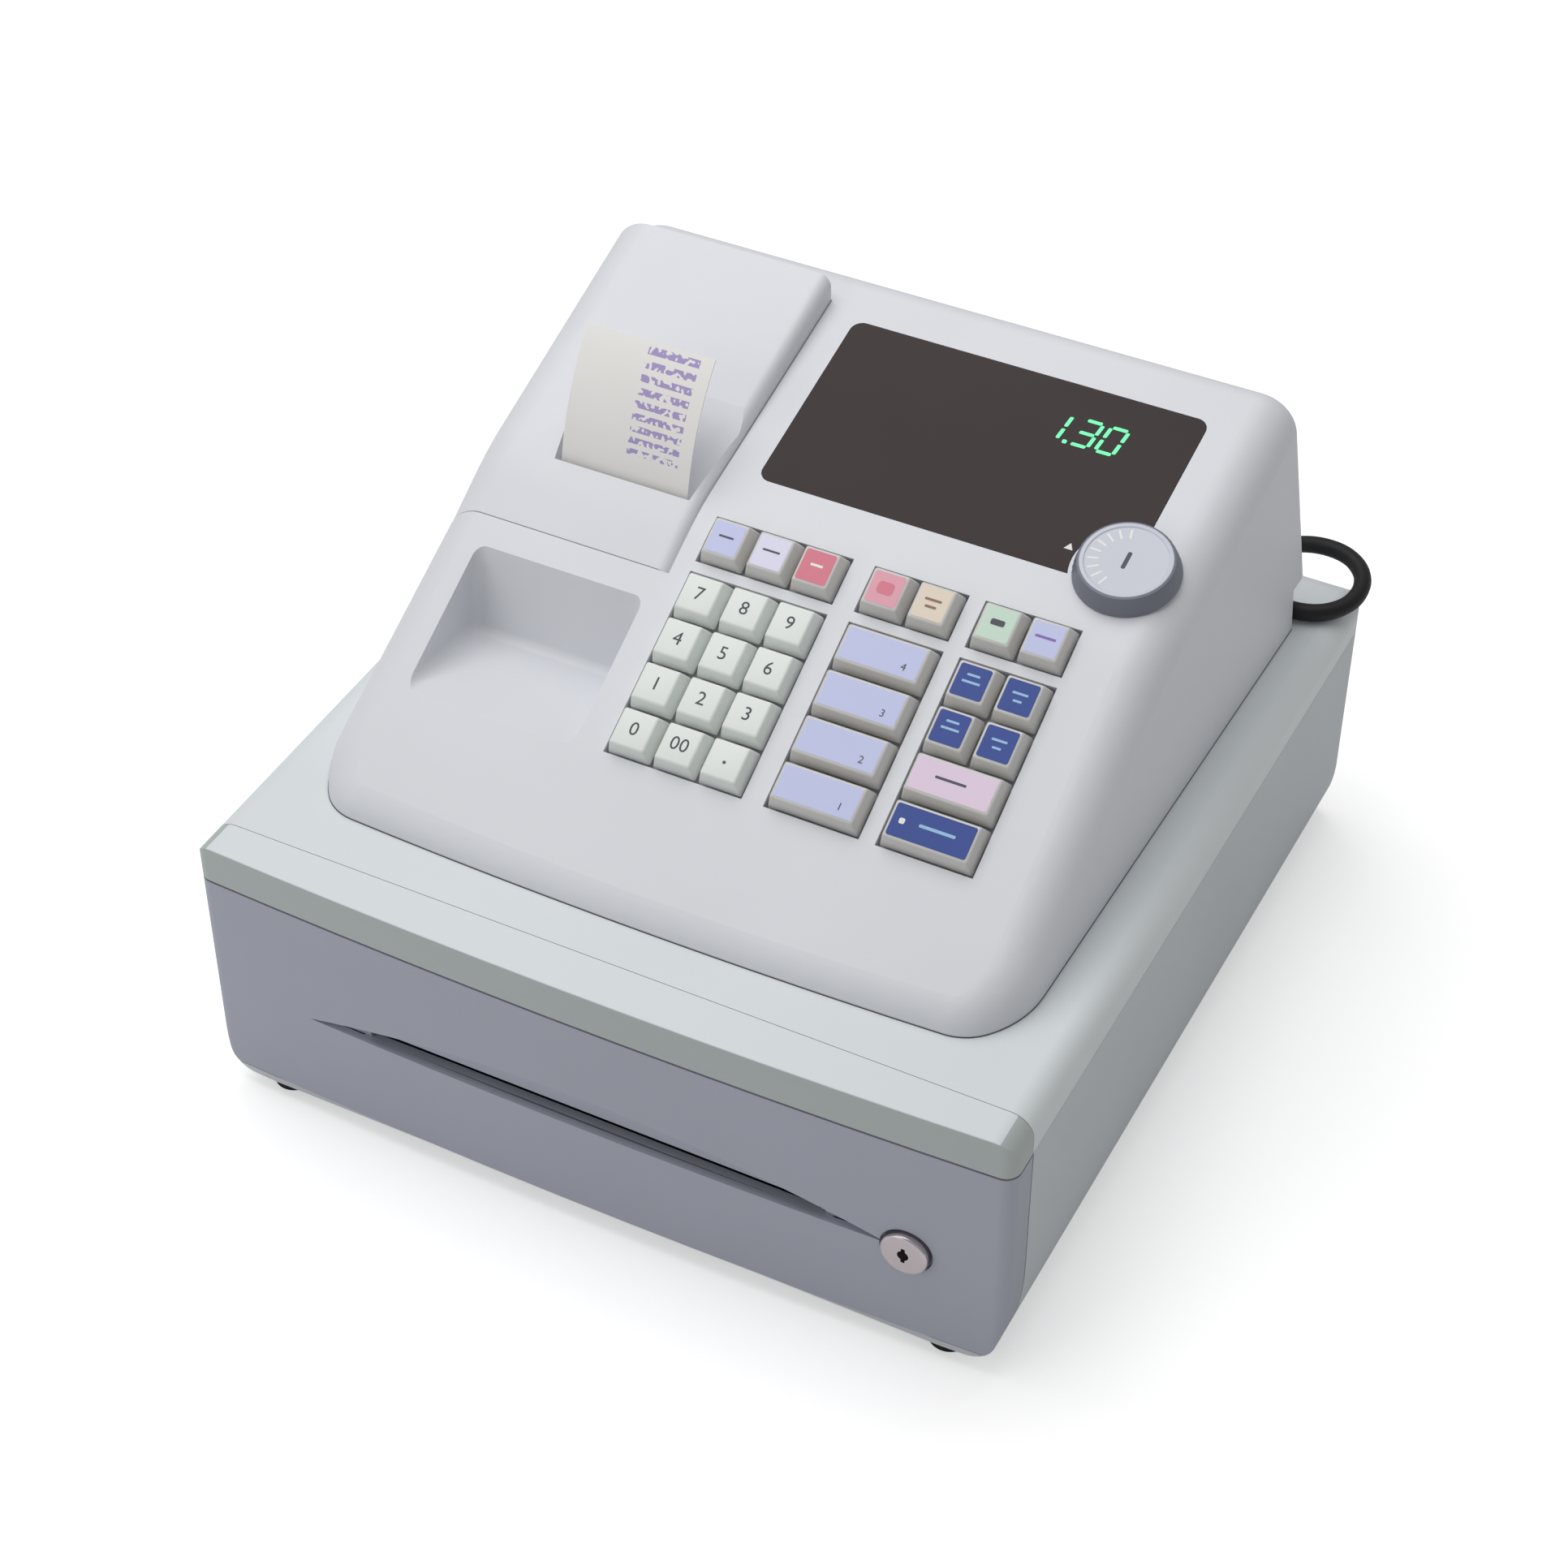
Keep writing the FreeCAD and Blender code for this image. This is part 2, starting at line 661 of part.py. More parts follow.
def lock_barrel():
    """Cam lock turned from one bar: slotted face, barrel and a flat cam behind."""
    at = Vector(size("lock_x"), LOCK_SEAT, size("lock_z"))
    back = Vector(0, 1, 0)
    proud = size("lock_proud") + 3.0
    face = Part.makeCylinder(size("lock_face_radius"), proud, at - back * (proud + 0.1), back)
    rim = [edge for edge in face.Edges if abs(edge.BoundBox.Center.y - face.BoundBox.YMin) < 0.01]
    face = face.makeFillet(1.0, rim[:1])
    barrel = Part.makeCylinder(size("lock_barrel_radius"), 12.0, at - back * 0.2, back)
    end = at.y + 11.0
    wide = size("cam_width") / 2
    cam = block((at.x - wide, end - size("cam_thickness"), at.z - size("cam_length")), (at.x + wide, end, at.z))
    slot = block((at.x - size("keyway_width") / 2, at.y - 20, at.z - size("keyway_height") / 2),
                 (at.x + size("keyway_width") / 2, at.y + 6, at.z + size("keyway_height") / 2))
    core = Part.makeCylinder(2.2, 8, Vector(at.x, at.y - proud - 0.1, at.z), back)
    return face.fuse(barrel).fuse(cam).cut(slot.common(block((0, -WIDE, 0), (WIDE, at.y + 4, WIDE)))).cut(core).removeSplitter()


drawer_lock = shaped("drawer_lock", lock_barrel())

# Drawer catch: a solenoid that lifts a hooked lever off a lug on the drawer's back


def catch_lever():
    """Hooked lever on a cross pin, shown lifted clear of the lug as when the solenoid has fired."""
    thick = size("lever_thickness")
    pivot = Vector(0, BACK - size("lever_inset"), size("lever_z"))
    eye = Part.makeCylinder(5, thick, pivot - Vector(thick / 2, 0, 0), Vector(1, 0, 0))
    arm = block((-thick / 2, HOOK_Y, pivot.z - 3), (thick / 2, pivot.y, pivot.z + 3))
    tooth = block((-thick / 2, HOOK_Y, LUG_TOP + 1.0), (thick / 2, HOOK_Y + 4, pivot.z))
    hole = Part.makeCylinder(2.1, thick + 2, pivot - Vector(thick / 2 + 1, 0, 0), Vector(1, 0, 0))
    return eye.fuse(arm).fuse(tooth).cut(hole).removeSplitter()


def solenoid_solid():
    """Coil block with a bracket to the case back and the cross pin that carries the lever."""
    thick = size("lever_thickness")
    pivot = Vector(0, BACK - size("lever_inset"), size("lever_z"))
    back = BACK - size("wall")
    coil = Part.makeCylinder(9, 26, Vector(24, pivot.y - 4, pivot.z - 12), Vector(0, 0, -1))
    frame = block((12, pivot.y - 15, pivot.z - 40), (36, back, pivot.z - 38))
    frame = frame.fuse(block((12, back - 2, pivot.z - 40), (36, back, pivot.z + 6)))
    frame = frame.fuse(block((thick / 2 + 0.4, pivot.y - 6, pivot.z - 6), (thick / 2 + 3.4, back, pivot.z + 6)))
    frame = frame.fuse(block((thick / 2 + 0.4, back - 2, pivot.z - 6), (36, back, pivot.z + 6)))
    pin = Part.makeCylinder(2.0, thick + 2.4, pivot - Vector(thick / 2 + 1, 0, 0), Vector(1, 0, 0))
    return frame.fuse(coil).fuse(pin).removeSplitter()


LUG_TOP = size("lug_height")


def striker():
    """Striker screwed to the drawer's back: a foot and an upright that the lever's tooth hooks over."""
    half = size("lever_thickness") / 2 + 3
    foot = block((-half, BOX_END, size("box_floor")), (half, BOX_END + 13.5, LUG_TOP - 6))
    upright = block((-half, BOX_END + 8.7, LUG_TOP - 7), (half, BOX_END + 13.5, LUG_TOP))
    return foot.fuse(upright).removeSplitter()


latch_striker = shaped("latch_striker", striker())
drawer_latch = shaped("drawer_latch", catch_lever())
latch_solenoid = shaped("latch_solenoid", solenoid_solid())

# The head: a drafted plan crossed with the sloped side view, then rounded along its top edges

TURN = math.radians(size("panel_slope"))
LEAN = math.radians(size("display_slope"))
ALONG = Vector(0, math.cos(TURN), math.sin(TURN))
OUT = Vector(0, -math.sin(TURN), math.cos(TURN))
PANEL = Vector(0, size("panel_y"), above("panel_rise"))
UP = Vector(0, -math.sin(LEAN), math.cos(LEAN))
BACKWARD = Vector(0, math.cos(LEAN), math.sin(LEAN))
RIDGE = Vector(0, size("ridge_y"), above("ridge_rise"))
CREASE_Y = (RIDGE.z - PANEL.z + PANEL.y * math.tan(TURN) - RIDGE.y * math.tan(LEAN)) / (math.tan(TURN) - math.tan(LEAN))


def display_z(y):
    """Height of the display slope at a distance back."""
    return RIDGE.z - (RIDGE.y - y) * math.tan(LEAN)


def panel_height(y):
    """Height of the keyboard slope at a distance back."""
    return PANEL.z + (y - PANEL.y) * math.tan(TURN)


def head_side(inset):
    """Side view of the head: key slope, display slope, ridge, leaning back and cord channel."""
    drop_panel = inset / math.cos(TURN)
    drop_display = inset / math.cos(LEAN)
    low = DECK - 36
    nose = size("head_front") - 15
    crease = CREASE_Y + (drop_display - drop_panel) / (math.tan(TURN) - math.tan(LEAN)) * -1
    brow = size("brow_y") - inset
    channel = size("channel_y") - inset
    lip = above("channel_rise") + inset
    rear = RIDGE.y - inset
    return [
        (nose, low),
        (nose, panel_height(nose) - drop_panel),
        (crease, panel_height(crease) - drop_panel),
        (rear, display_z(rear) - drop_display),
        (brow, above("brow_rise")),
        (brow, lip),
        (channel, lip),
        (channel, low),
    ]


def head_plan(inset, z):
    """Plan of the head at one height: bowed nose, broad front corners, sides that widen to the back."""
    drift = (z - DECK) * math.tan(math.radians(size("head_draft")))
    front_half = size("head_half_front") - inset - drift
    rear_half = size("head_half_rear") - inset - drift
    nose = size("head_front") + inset + drift * 0.3
    side = nose + size("front_bow")
    corner = size("head_corner_x") - inset - drift
    deep = side + size("head_corner_y") - size("front_bow")
    rear = size("brow_y") + 10
    bulge = Vector(corner + (front_half - corner) * 0.64, side + (deep - side) * 0.36, z)
    a = Vector(-corner, side, z)
    b = Vector(corner, side, z)
    c = Vector(front_half, deep, z)
    d = Vector(rear_half, rear, z)
    e = Vector(-rear_half, rear, z)
    f = Vector(-front_half, deep, z)
    left = Vector(-bulge.x, bulge.y, z)
    edges = [arc3(a, Vector(0, nose, z), b), arc3(b, bulge, c), line(c, d), line(d, e), line(e, f), arc3(f, left, a)]
    return Part.Wire(edges)


def middle_of(edge):
    """Point halfway along an edge."""
    return edge.valueAt((edge.FirstParameter + edge.LastParameter) / 2)


def head_solid(inset):
    """The head's outer form, or its inner form at a wall's depth, with every top edge rounded."""
    side = side_prism(head_side(inset), -WIDE / 2, WIDE / 2)
    plan = Part.makeLoft([head_plan(inset, DECK - 36), head_plan(inset, RIDGE.z + 10)], True, True)
    form = side.common(plan).removeSplitter()
    crease = [e for e in form.Edges if abs(middle_of(e).y - CREASE_Y) < 3 and e.BoundBox.XLength > 200]
    form = form.makeFillet(size("crease_round"), crease)
    upright = [e for e in form.Edges if e.BoundBox.ZLength > 20 and middle_of(e).y < side_front() + 6]
    form = form.makeFillet(size("corner_round"), upright)
    rounded = [e for e in form.Edges if is_top_edge(e)]
    form = form.makeFillet(size("shoulder_round") - inset, rounded)
    ridge = [e for e in form.Edges if e.BoundBox.XLength > 200 and middle_of(e).z > RIDGE.z - 6]
    return form.makeFillet(size("ridge_round") - inset, ridge)


def side_front():
    """How far forward the head's front corners lie."""
    return size("head_front") + size("front_bow")


def is_top_edge(edge):
    """True for the chain of edges between the top slopes and the front and side walls."""
    m = middle_of(edge)
    bounds = edge.BoundBox
    if bounds.ZLength > 30 and bounds.YLength < 12:
        return False
    if m.z < DECK + 2:
        return False
    if bounds.XLength > 200:
        return m.y < side_front() + 6 and m.z > DECK + 2
    if m.y < side_front() + 36:
        return m.z > DECK + 4 and m.y < RIDGE.y
    on_side = abs(m.x) > size("head_half_front") - 8
    return on_side and m.y < RIDGE.y - 3 and bounds.YLength > 4 and m.z > PANEL.z


HEAD = head_solid(0)
HEAD_INSIDE = head_solid(size("head_wall"))
ABOVE_DECK = block((-WIDE, -WIDE, DECK), (WIDE, WIDE, WIDE))
HEAD_ROOM = HEAD.common(ABOVE_DECK)


def slope_box(along_low, along_high, left, right, low, high):
    """A block laid on the keyboard slope: distances along it, across it and out from it."""
    form = Part.makeBox(right - left, along_high - along_low, high - low, Vector(left, along_low, low))
    form.Placement = Placement(PANEL, Rotation(Vector(1, 0, 0), size("panel_slope")))
    return form


# Key places: name, kind, middle across the slope, distance up it and width in pitches

PITCH = size("key_pitch_x")
ROWS = [size("row_one") - size("key_pitch_row") * k for k in range(4)]


def key_places():
    """Every key as (name, across, along, width in pitches)."""
    places = []
    for row, names in enumerate((("7", "8", "9"), ("4", "5", "6"), ("1", "2", "3"), ("0", "00", "point"))):
        for column, digit in enumerate(names):
            places.append((f"key_{digit}", size("number_x") + (column - 1) * PITCH, ROWS[row], 1))
    for row in range(4):
        places.append((f"key_section_{4 - row}", size("section_x"), ROWS[row], 2))
    for row in range(2):
        for column in range(2):
            across = size("payment_x") + (column - 0.5) * PITCH
            places.append((f"key_payment_{2 * row + column + 1}", across, ROWS[row], 1))
    places.append(("key_subtotal", size("payment_x"), ROWS[2], 2))
    places.append(("key_total", size("payment_x"), ROWS[3], 2))
    top = size("function_row")
    across = [size("number_x") + (k - 1) * PITCH for k in range(3)]
    across += [size("section_x") + (k - 0.5) * PITCH for k in range(2)]
    across += [size("payment_x") + (k - 0.5) * PITCH for k in range(2)]
    for number, x in enumerate(across, start=1):
        places.append((f"key_function_{number}", x, top, 1))
    return places


KEYS = key_places()
WELL_LOW = -size("well_depth")
STEM_LOW = -size("well_depth") - size("well_floor") - size("key_travel") + 0.5
BOARD_TOP = STEM_LOW - size("key_travel") - 0.3


def key_groups():
    """Bounds of each key well: left, right, low and high along the slope."""
    reach = (size("key_pitch_row") - size("key_gap")) / 2 + size("well_margin")
    side = (PITCH - size("key_gap")) / 2 + size("well_margin")
    low = ROWS[3] - reach
    high = ROWS[0] + reach
    top = size("function_row")
    number, section, payment = size("number_x"), size("section_x"), size("payment_x")
    wells = [(number - PITCH - side, number + PITCH + side, low, high),
             (section - PITCH / 2 - side, section + PITCH / 2 + side, low, high),
             (payment - PITCH / 2 - side, payment + PITCH / 2 + side, low, high)]
    wells += [(number - PITCH - side, number + PITCH + side, top - reach, top + reach)]
    wells += [(middle - PITCH / 2 - side, middle + PITCH / 2 + side, top - reach, top + reach) for middle in (section, payment)]
    return wells


def scoop_prism(extra):
    """The change scoop beside the keys, grown by a wall thickness for its lining."""
    front = size("scoop_front")
    outline = [
        (front - 30 - extra, panel_height(front) + 20),
        (front - extra * 1.5, panel_height(front) - extra),
        (size("scoop_floor_y") + extra * 0.3, above("scoop_floor_rise") - extra),
        (size("scoop_back") + extra, panel_height(size("scoop_back"))),
        (size("scoop_back") + extra + 8, panel_height(size("scoop_back")) + 60),
    ]
    form = side_prism(outline, size("scoop_left") - extra, size("scoop_right") + extra)
    low = [e for e in form.Edges if middle_of(e).z < panel_height(size("scoop_back")) - 5
           and middle_of(e).y > front + 5]
    return form.makeFillet(size("scoop_round") + extra, low)


def cover_region(grow):
    """Space that the printer cover fills: its front, right and back edges and its low skirt."""
    skirt = size("cover_skirt") + grow
    front = size("cover_front") - grow
    back = size("cover_back") + grow
    outline = [
        (front, panel_height(front) - skirt),
        (CREASE_Y, panel_height(CREASE_Y) - skirt),
        (back, display_z(back) - skirt),
        (back, display_z(back) + 60),
        (front, panel_height(front) + 60),
    ]
    return side_prism(outline, -WIDE / 2, size("cover_right") + grow)


def tilted(form):
    """Turns a form up about the printer cover's front edge."""
    copy = form.copy()
    front = Vector(0, size("cover_front"), panel_height(size("cover_front")))
    copy.rotate(front, Vector(1, 0, 0), size("cover_tilt"))
    return copy


def outlet_recess(extra):
    """Wedge behind the paper slot that widens and runs out to the surface at the back."""
    y0 = size("outlet_y") - extra
    y1 = size("outlet_y") + size("outlet_length") + extra
    depth = size("outlet_depth") + extra
    outline = [
        (y0, display_z(y0) - depth),
        (y1, display_z(y1)),
        (y1, display_z(y1) + 40),
        (y0, display_z(y0) + 40),
    ]
    wedge = side_prism(outline, size("outlet_left") - 40, size("outlet_right") + 40)
    flare = size("outlet_flare")
    left = size("outlet_left") - extra
    right = size("outlet_right") + extra
    plan = face_of([Vector(left, y0 - 1, 0), Vector(right, y0 - 1, 0), Vector(right + flare * 0.5, y1, 0), Vector(left - flare, y1, 0)])
    return wedge.common(plan.extrude(Vector(0, 0, WIDE)))


def dial_centre(lift):
    """Middle of the mode dial, a distance out from the display slope."""
    return Vector(size("dial_x"), size("dial_y"), display_z(size("dial_y"))) + UP * lift


def window_prism(margin, low, high):
    """The display window's outline, laid on its slope between two depths."""
    left = size("window_left") + margin
    right = size("window_right") - margin
    front = size("window_low") + margin
    back = size("window_high") - margin
    flat = Part.makeBox(right - left, (back - front) / math.cos(LEAN), high - low, Vector(left, 0, low))
    upright = [e for e in flat.Edges if e.BoundBox.ZLength > 0.5 and e.BoundBox.XLength < 0.1 and e.BoundBox.YLength < 0.1]
    flat = flat.makeFillet(size("window_round"), upright)
    flat.Placement = Placement(Vector(0, front, display_z(front)), Rotation(Vector(1, 0, 0), size("display_slope")))
    return flat


def on_slope(across, along, out=0.0):
    """A point on the keyboard slope."""
    return Vector(across, 0, 0) + PANEL + ALONG * along + OUT * out


def board_posts():
    """Posts between the key wells that carry the circuit board."""
    between = [(size("number_x") + size("section_x") + PITCH / 2) / 2, (size("section_x") + size("payment_x")) / 2]
    return [(across, along) for across in between for along in (ROWS[0], ROWS[3])]


def back_slab(half, margin, out, deep):
    """A slab laid in the leaning back, over the customer window's height, between two depths."""
    lean = (size("brow_y") - RIDGE.y) / (RIDGE.z - above("brow_rise"))
    low = above("customer_low") + margin
    high = above("customer_high") - margin
    low_y = size("brow_y") - (low - above("brow_rise")) * lean
    high_y = size("brow_y") - (high - above("brow_rise")) * lean
    outline = [(low_y - out, low), (high_y - out, high), (high_y - deep, high), (low_y - deep, low)]
    return side_prism(outline, margin - half, half - margin)


def head_shell():
    """One moulding: shell, key wells with stem guides, change scoop, window seat, dial boss, cover ledge."""
    shell = HEAD.cut(HEAD_INSIDE)
    for left, right, low, high in key_groups():
        lining = slope_box(low - 2, high + 2, left - 2, right + 2, WELL_LOW - size("well_floor"), -1)
        shell = shell.fuse(lining.common(HEAD))
    shell = shell.fuse(scoop_prism(size("head_wall")).common(HEAD))
    shell = shell.cut(scoop_prism(0))
    ledge = window_prism(-3, -size("window_thickness") - 3, -1).common(HEAD)
    shell = shell.fuse(ledge)
    shell = shell.cut(window_prism(-size("window_gap"), -size("window_thickness"), 20))
    shell = shell.cut(window_prism(size("window_ledge"), -30, 20))
    boss = Part.makeCylinder(DIAL_SEAT, size("dial_boss_length"), dial_centre(0), UP * -1).common(HEAD)
    shell = shell.fuse(boss)
    for across, along in board_posts():
        post = Part.makeCylinder(2.5, -BOARD_TOP - 1, on_slope(across, along, BOARD_TOP), OUT)
        shell = shell.fuse(post)
    shell = shell.cut(Part.makeCylinder(size("dial_shaft_radius") + size("dial_clearance"), 60, dial_centre(30), UP * -1))
    tools = []
    for left, right, low, high in key_groups():
        tools.append(slope_box(low, high, left, right, WELL_LOW, 20))
    for name, across, along, width in KEYS:
        half = size("stem_side") / 2 + size("stem_clearance")
        tools.append(slope_box(along - half, along + half, across - half, across + half, -30, 0))
    for tool in tools:
        shell = shell.cut(tool)
    lowered = HEAD_INSIDE.copy()
    lowered.translate(Vector(0, 0, -2.2))
    rim = HEAD_INSIDE.cut(lowered).common(cover_region(2.5)).cut(cover_region(-4))
    rim = rim.common(block((size("rim_left"), -WIDE, 0), (WIDE, WIDE, WIDE)))
    room = tilted(HEAD_INSIDE)
    room.translate(Vector(GAP, 0, -GAP))
    under = rim.common(cover_region(0.2)).common(room).cut(tilted(outlet_recess(size("head_wall") + 0.5)))
    shell = shell.cut(cover_region(size("cover_gap"))).fuse(rim.cut(cover_region(0.2))).fuse(under)
    shell = shell.cut(back_slab(size("customer_half"), 0, -5, size("head_wall") + 5))
    gland = Part.makeCylinder(4.2, 30, Vector(size("gland_x"), size("channel_y") - 12, above("gland_rise")), Vector(0, 1, 0))
    shell = shell.common(ABOVE_DECK).cut(gland)
    return shell.removeSplitter()


DIAL_SEAT = size("dial_radius") + 2.5
head_case = shaped("head_case", head_shell())


def printer_lid():
    """Lift-off printer cover: a raised piece of the head's skin, walled on its right and back."""
    wall = size("head_wall")
    outer = tilted(HEAD).common(cover_region(0))
    right = [e for e in outer.Edges if e.BoundBox.XLength < 0.5 and e.BoundBox.YLength > 3
             and abs(middle_of(e).x - size("cover_right")) < 0.1 and middle_of(e).z > panel_height(size("cover_front"))]
    outer = outer.makeFillet(size("cover_edge_round"), right)
    walls = outer.cut(cover_region(-wall))
    ledge = HEAD_INSIDE.copy()
    ledge.translate(Vector(0, 0, GAP))
    lid = outer.cut(tilted(HEAD_INSIDE)).fuse(walls.cut(ledge))
    lid = lid.fuse(tilted(outlet_recess(wall)).common(outer))
    lid = lid.cut(tilted(outlet_recess(0)))
    slot_left = (size("outlet_left") + size("outlet_right")) / 2 - size("paper_width") / 2 - 1
    slot_right = slot_left + size("paper_width") + 2
    slot = block((slot_left, size("outlet_y") - size("slot_width") + 1.2, 100), (slot_right, size("outlet_y") + 1.2, WIDE))
    return lid.cut(slot).removeSplitter()


printer_cover = shaped("printer_cover", printer_lid())


def key(name, across, along, width):
    """A tapered cap on a square stem; the cap's sizes stay bound to the sheet."""
    cap = doc.addObject("Part::Wedge", name + "_cap")
    base = f"({width} * key_pitch_x - key_gap) / 2"
    deep = "(key_pitch_row - key_gap) / 2"
    bind(cap, Xmin=f"-({base})", Xmax=base, Zmin=f"-({deep})", Zmax=deep)
    bind(cap, Ymin="-key_sunk", Ymax="key_proud")
    bind(cap, X2min=f"-({base}) + key_taper", X2max=f"{base} - key_taper")
    bind(cap, Z2min=f"-({deep}) + key_taper", Z2max=f"{deep} - key_taper")
    cap.Placement = Placement(on_slope(across, along), Rotation(Vector(1, 0, 0), 90 + size("panel_slope")))
    stem = doc.addObject("Part::Box", name + "_stem")
    bind(stem, Length="stem_side", Width="stem_side", Height=f"{-STEM_LOW} - key_sunk + 0.5")
    half = size("stem_side") / 2
    stem.Placement = Placement(on_slope(across - half, along - half, STEM_LOW), Rotation(Vector(1, 0, 0), size("panel_slope")))
    return joined(name, [cap, stem])


keys = [key(*place) for place in KEYS]


def circuit_board():
    """Key contact board under the stems, hung from posts inside the key panel."""
    reach = size("key_pitch_row") / 2 + 4
    left = size("number_x") - 1.5 * PITCH - 4
    right = size("payment_x") + PITCH + 4
    low = ROWS[3] - reach
    high = size("function_row") + reach
    return slope_box(low, high, left, right, BOARD_TOP - size("board_thickness"), BOARD_TOP)


main_board = shaped("main_board", circuit_board())


def window_plate():
    """Dark front window with a corner cut away round the dial, and the small one on the customer's side."""
    plate = window_prism(0, -size("window_thickness"), 0.0).common(HEAD)
    clear = Part.makeCylinder(DIAL_SEAT + size("window_gap"), 60, dial_centre(30), UP * -1)
    small = back_slab(size("customer_half"), size("window_gap"), 0, size("window_thickness"))
    return Part.makeCompound([plate.cut(clear), small])


def display_blocks():
    """Display block under the front window's ledge and another behind the customer window."""
    top = -size("window_thickness") - 3 - 0.3
    left = size("window_left") + 1
    low_y = size("window_low") + 18
    front = Part.makeBox(120, 46, size("tube_depth"), Vector(left, 0, top - size("tube_depth")))
    front.Placement = Placement(Vector(0, low_y, display_z(low_y)), Rotation(Vector(1, 0, 0), size("display_slope")))
    near = size("window_thickness") + 0.3
    rear = back_slab(size("customer_half"), 2, near, near + size("tube_depth"))
    return Part.makeCompound([front, rear])


display_windows = shaped("display_windows", window_plate())
display_tubes = shaped("display_tubes", display_blocks())


def dial():
    """Mode dial: a tapered skirt on a shaft, standing square to the display slope."""
    lean = Rotation(Vector(1, 0, 0), size("display_slope"))
    skirt = doc.addObject("Part::Cone", "dial_skirt")
    bind(skirt, Radius1="dial_radius + 1", Radius2="dial_radius - 1", Height="dial_height")
    skirt.Placement = Placement(dial_centre(size("dial_lift")), lean)
    shaft = doc.addObject("Part::Cylinder", "dial_shaft")
    bind(shaft, Radius="dial_shaft_radius", Height="dial_shaft_length + 1")
    shaft.Placement = Placement(dial_centre(size("dial_lift") - size("dial_shaft_length")), lean)
    return joined("mode_dial", [skirt, shaft])


mode_dial = dial()

# Receipt printer under the lift-off cover

ROLL_X = (size("outlet_left") + size("outlet_right")) / 2
PLATE_IN = size("roll_width") / 2 + 1.0
PLATE_OUT = PLATE_IN + size("frame_wall")


def paper_strip():
    """Receipt strip that rises through the slot and curls back."""
    low_z = display_z(size("outlet_y")) - 15
    rise = display_z(size("outlet_y")) + size("paper_rise") - low_z
    turn = 2 * math.atan(size("paper_lean") / rise)
    radius = rise / math.sin(turn)
    start_y = size("outlet_y") - 0.4
    thick = size("paper_thickness")

    def at(r, angle):
        return Vector(ROLL_X - size("paper_width") / 2, start_y + radius - r * math.cos(angle), low_z + r * math.sin(angle))

    inner = radius - thick
    edges = [
        arc3(at(radius, 0), at(radius, turn / 2), at(radius, turn)),
        line(at(radius, turn), at(inner, turn)),
        arc3(at(inner, turn), at(inner, turn / 2), at(inner, 0)),
        line(at(inner, 0), at(radius, 0)),
    ]
    return Part.Face(Part.Wire(edges)).extrude(Vector(size("paper_width"), 0, 0))


def spun(name, y, z, radius, half_width, shaft):
    """A roller with a thinner shaft through both side plates."""
    body = Part.makeCylinder(radius, 2 * half_width, Vector(ROLL_X - half_width, y, z), Vector(1, 0, 0))
    reach = PLATE_OUT + 2
    axle = Part.makeCylinder(shaft, 2 * reach, Vector(ROLL_X - reach, y, z), Vector(1, 0, 0))
    return shaped(name, body.fuse(axle))


receipt_paper = shaped("receipt_paper", paper_strip())
SHAFT = 2.5
paper_roll = spun("paper_roll", size("roll_y"), above("roll_rise"), size("roll_radius"), size("roll_width") / 2, SHAFT)
platen_roller = spun("platen_roller", size("platen_y"), above("platen_rise"), size("platen_radius"), size("roll_width") / 2, SHAFT)
ink_roller = spun("ink_roller", size("ink_y"), above("ink_rise"), size("ink_radius"), size("roll_width") / 2 - 4, SHAFT)


def printer_chassis():
    """Steel channel on the deck whose side plates carry the paper spindle, platen and ink roller."""
    low = DECK
    front = size("ink_y") - 9
    back = size("roll_y") + 14
    frame = block((ROLL_X - PLATE_OUT, front, low), (ROLL_X + PLATE_OUT, back, low + size("frame_wall")))
    outline = [
        (front, low),
        (front, above("platen_rise") + 9),
        (size("platen_y") + 9, above("platen_rise") + 9),
        (size("platen_y") + 24, above("roll_rise") - 22),
        (size("roll_y") - 12, above("roll_rise") - 22),
        (size("roll_y") - 8, above("roll_rise") + 7),
        (size("roll_y") + 8, above("roll_rise") + 7),
        (back, low),
    ]
    for left in (ROLL_X - PLATE_OUT, ROLL_X + PLATE_IN):
        frame = frame.fuse(side_prism(outline, left, left + size("frame_wall")))
    for y, z in ((size("roll_y"), above("roll_rise")), (size("platen_y"), above("platen_rise")), (size("ink_y"), above("ink_rise"))):
        bore = Part.makeCylinder(SHAFT + size("spindle_gap"), 200, Vector(ROLL_X - 100, y, z), Vector(1, 0, 0))
        frame = frame.cut(bore)
    return frame.removeSplitter()


printer_frame = shaped("printer_frame", printer_chassis())


def transformer_solid():
    """Mains transformer on the deck: laminated core with a bobbin standing out at each side."""
    x, y = size("transformer_x"), size("transformer_y")
    core = block((x - 24, y - 10, DECK), (x + 24, y + 10, DECK + 40))
    bobbin = block((x - 15, y - 20, DECK + 8), (x + 15, y + 20, DECK + 32))
    rounded = bobbin.makeFillet(5, [e for e in bobbin.Edges if e.BoundBox.XLength < 1 and e.BoundBox.YLength < 1])
    return core.fuse(rounded)


transformer = shaped("transformer", transformer_solid())

# Mains lead: gland in the rear channel, a loop over the deck's corner, then down to a coil behind

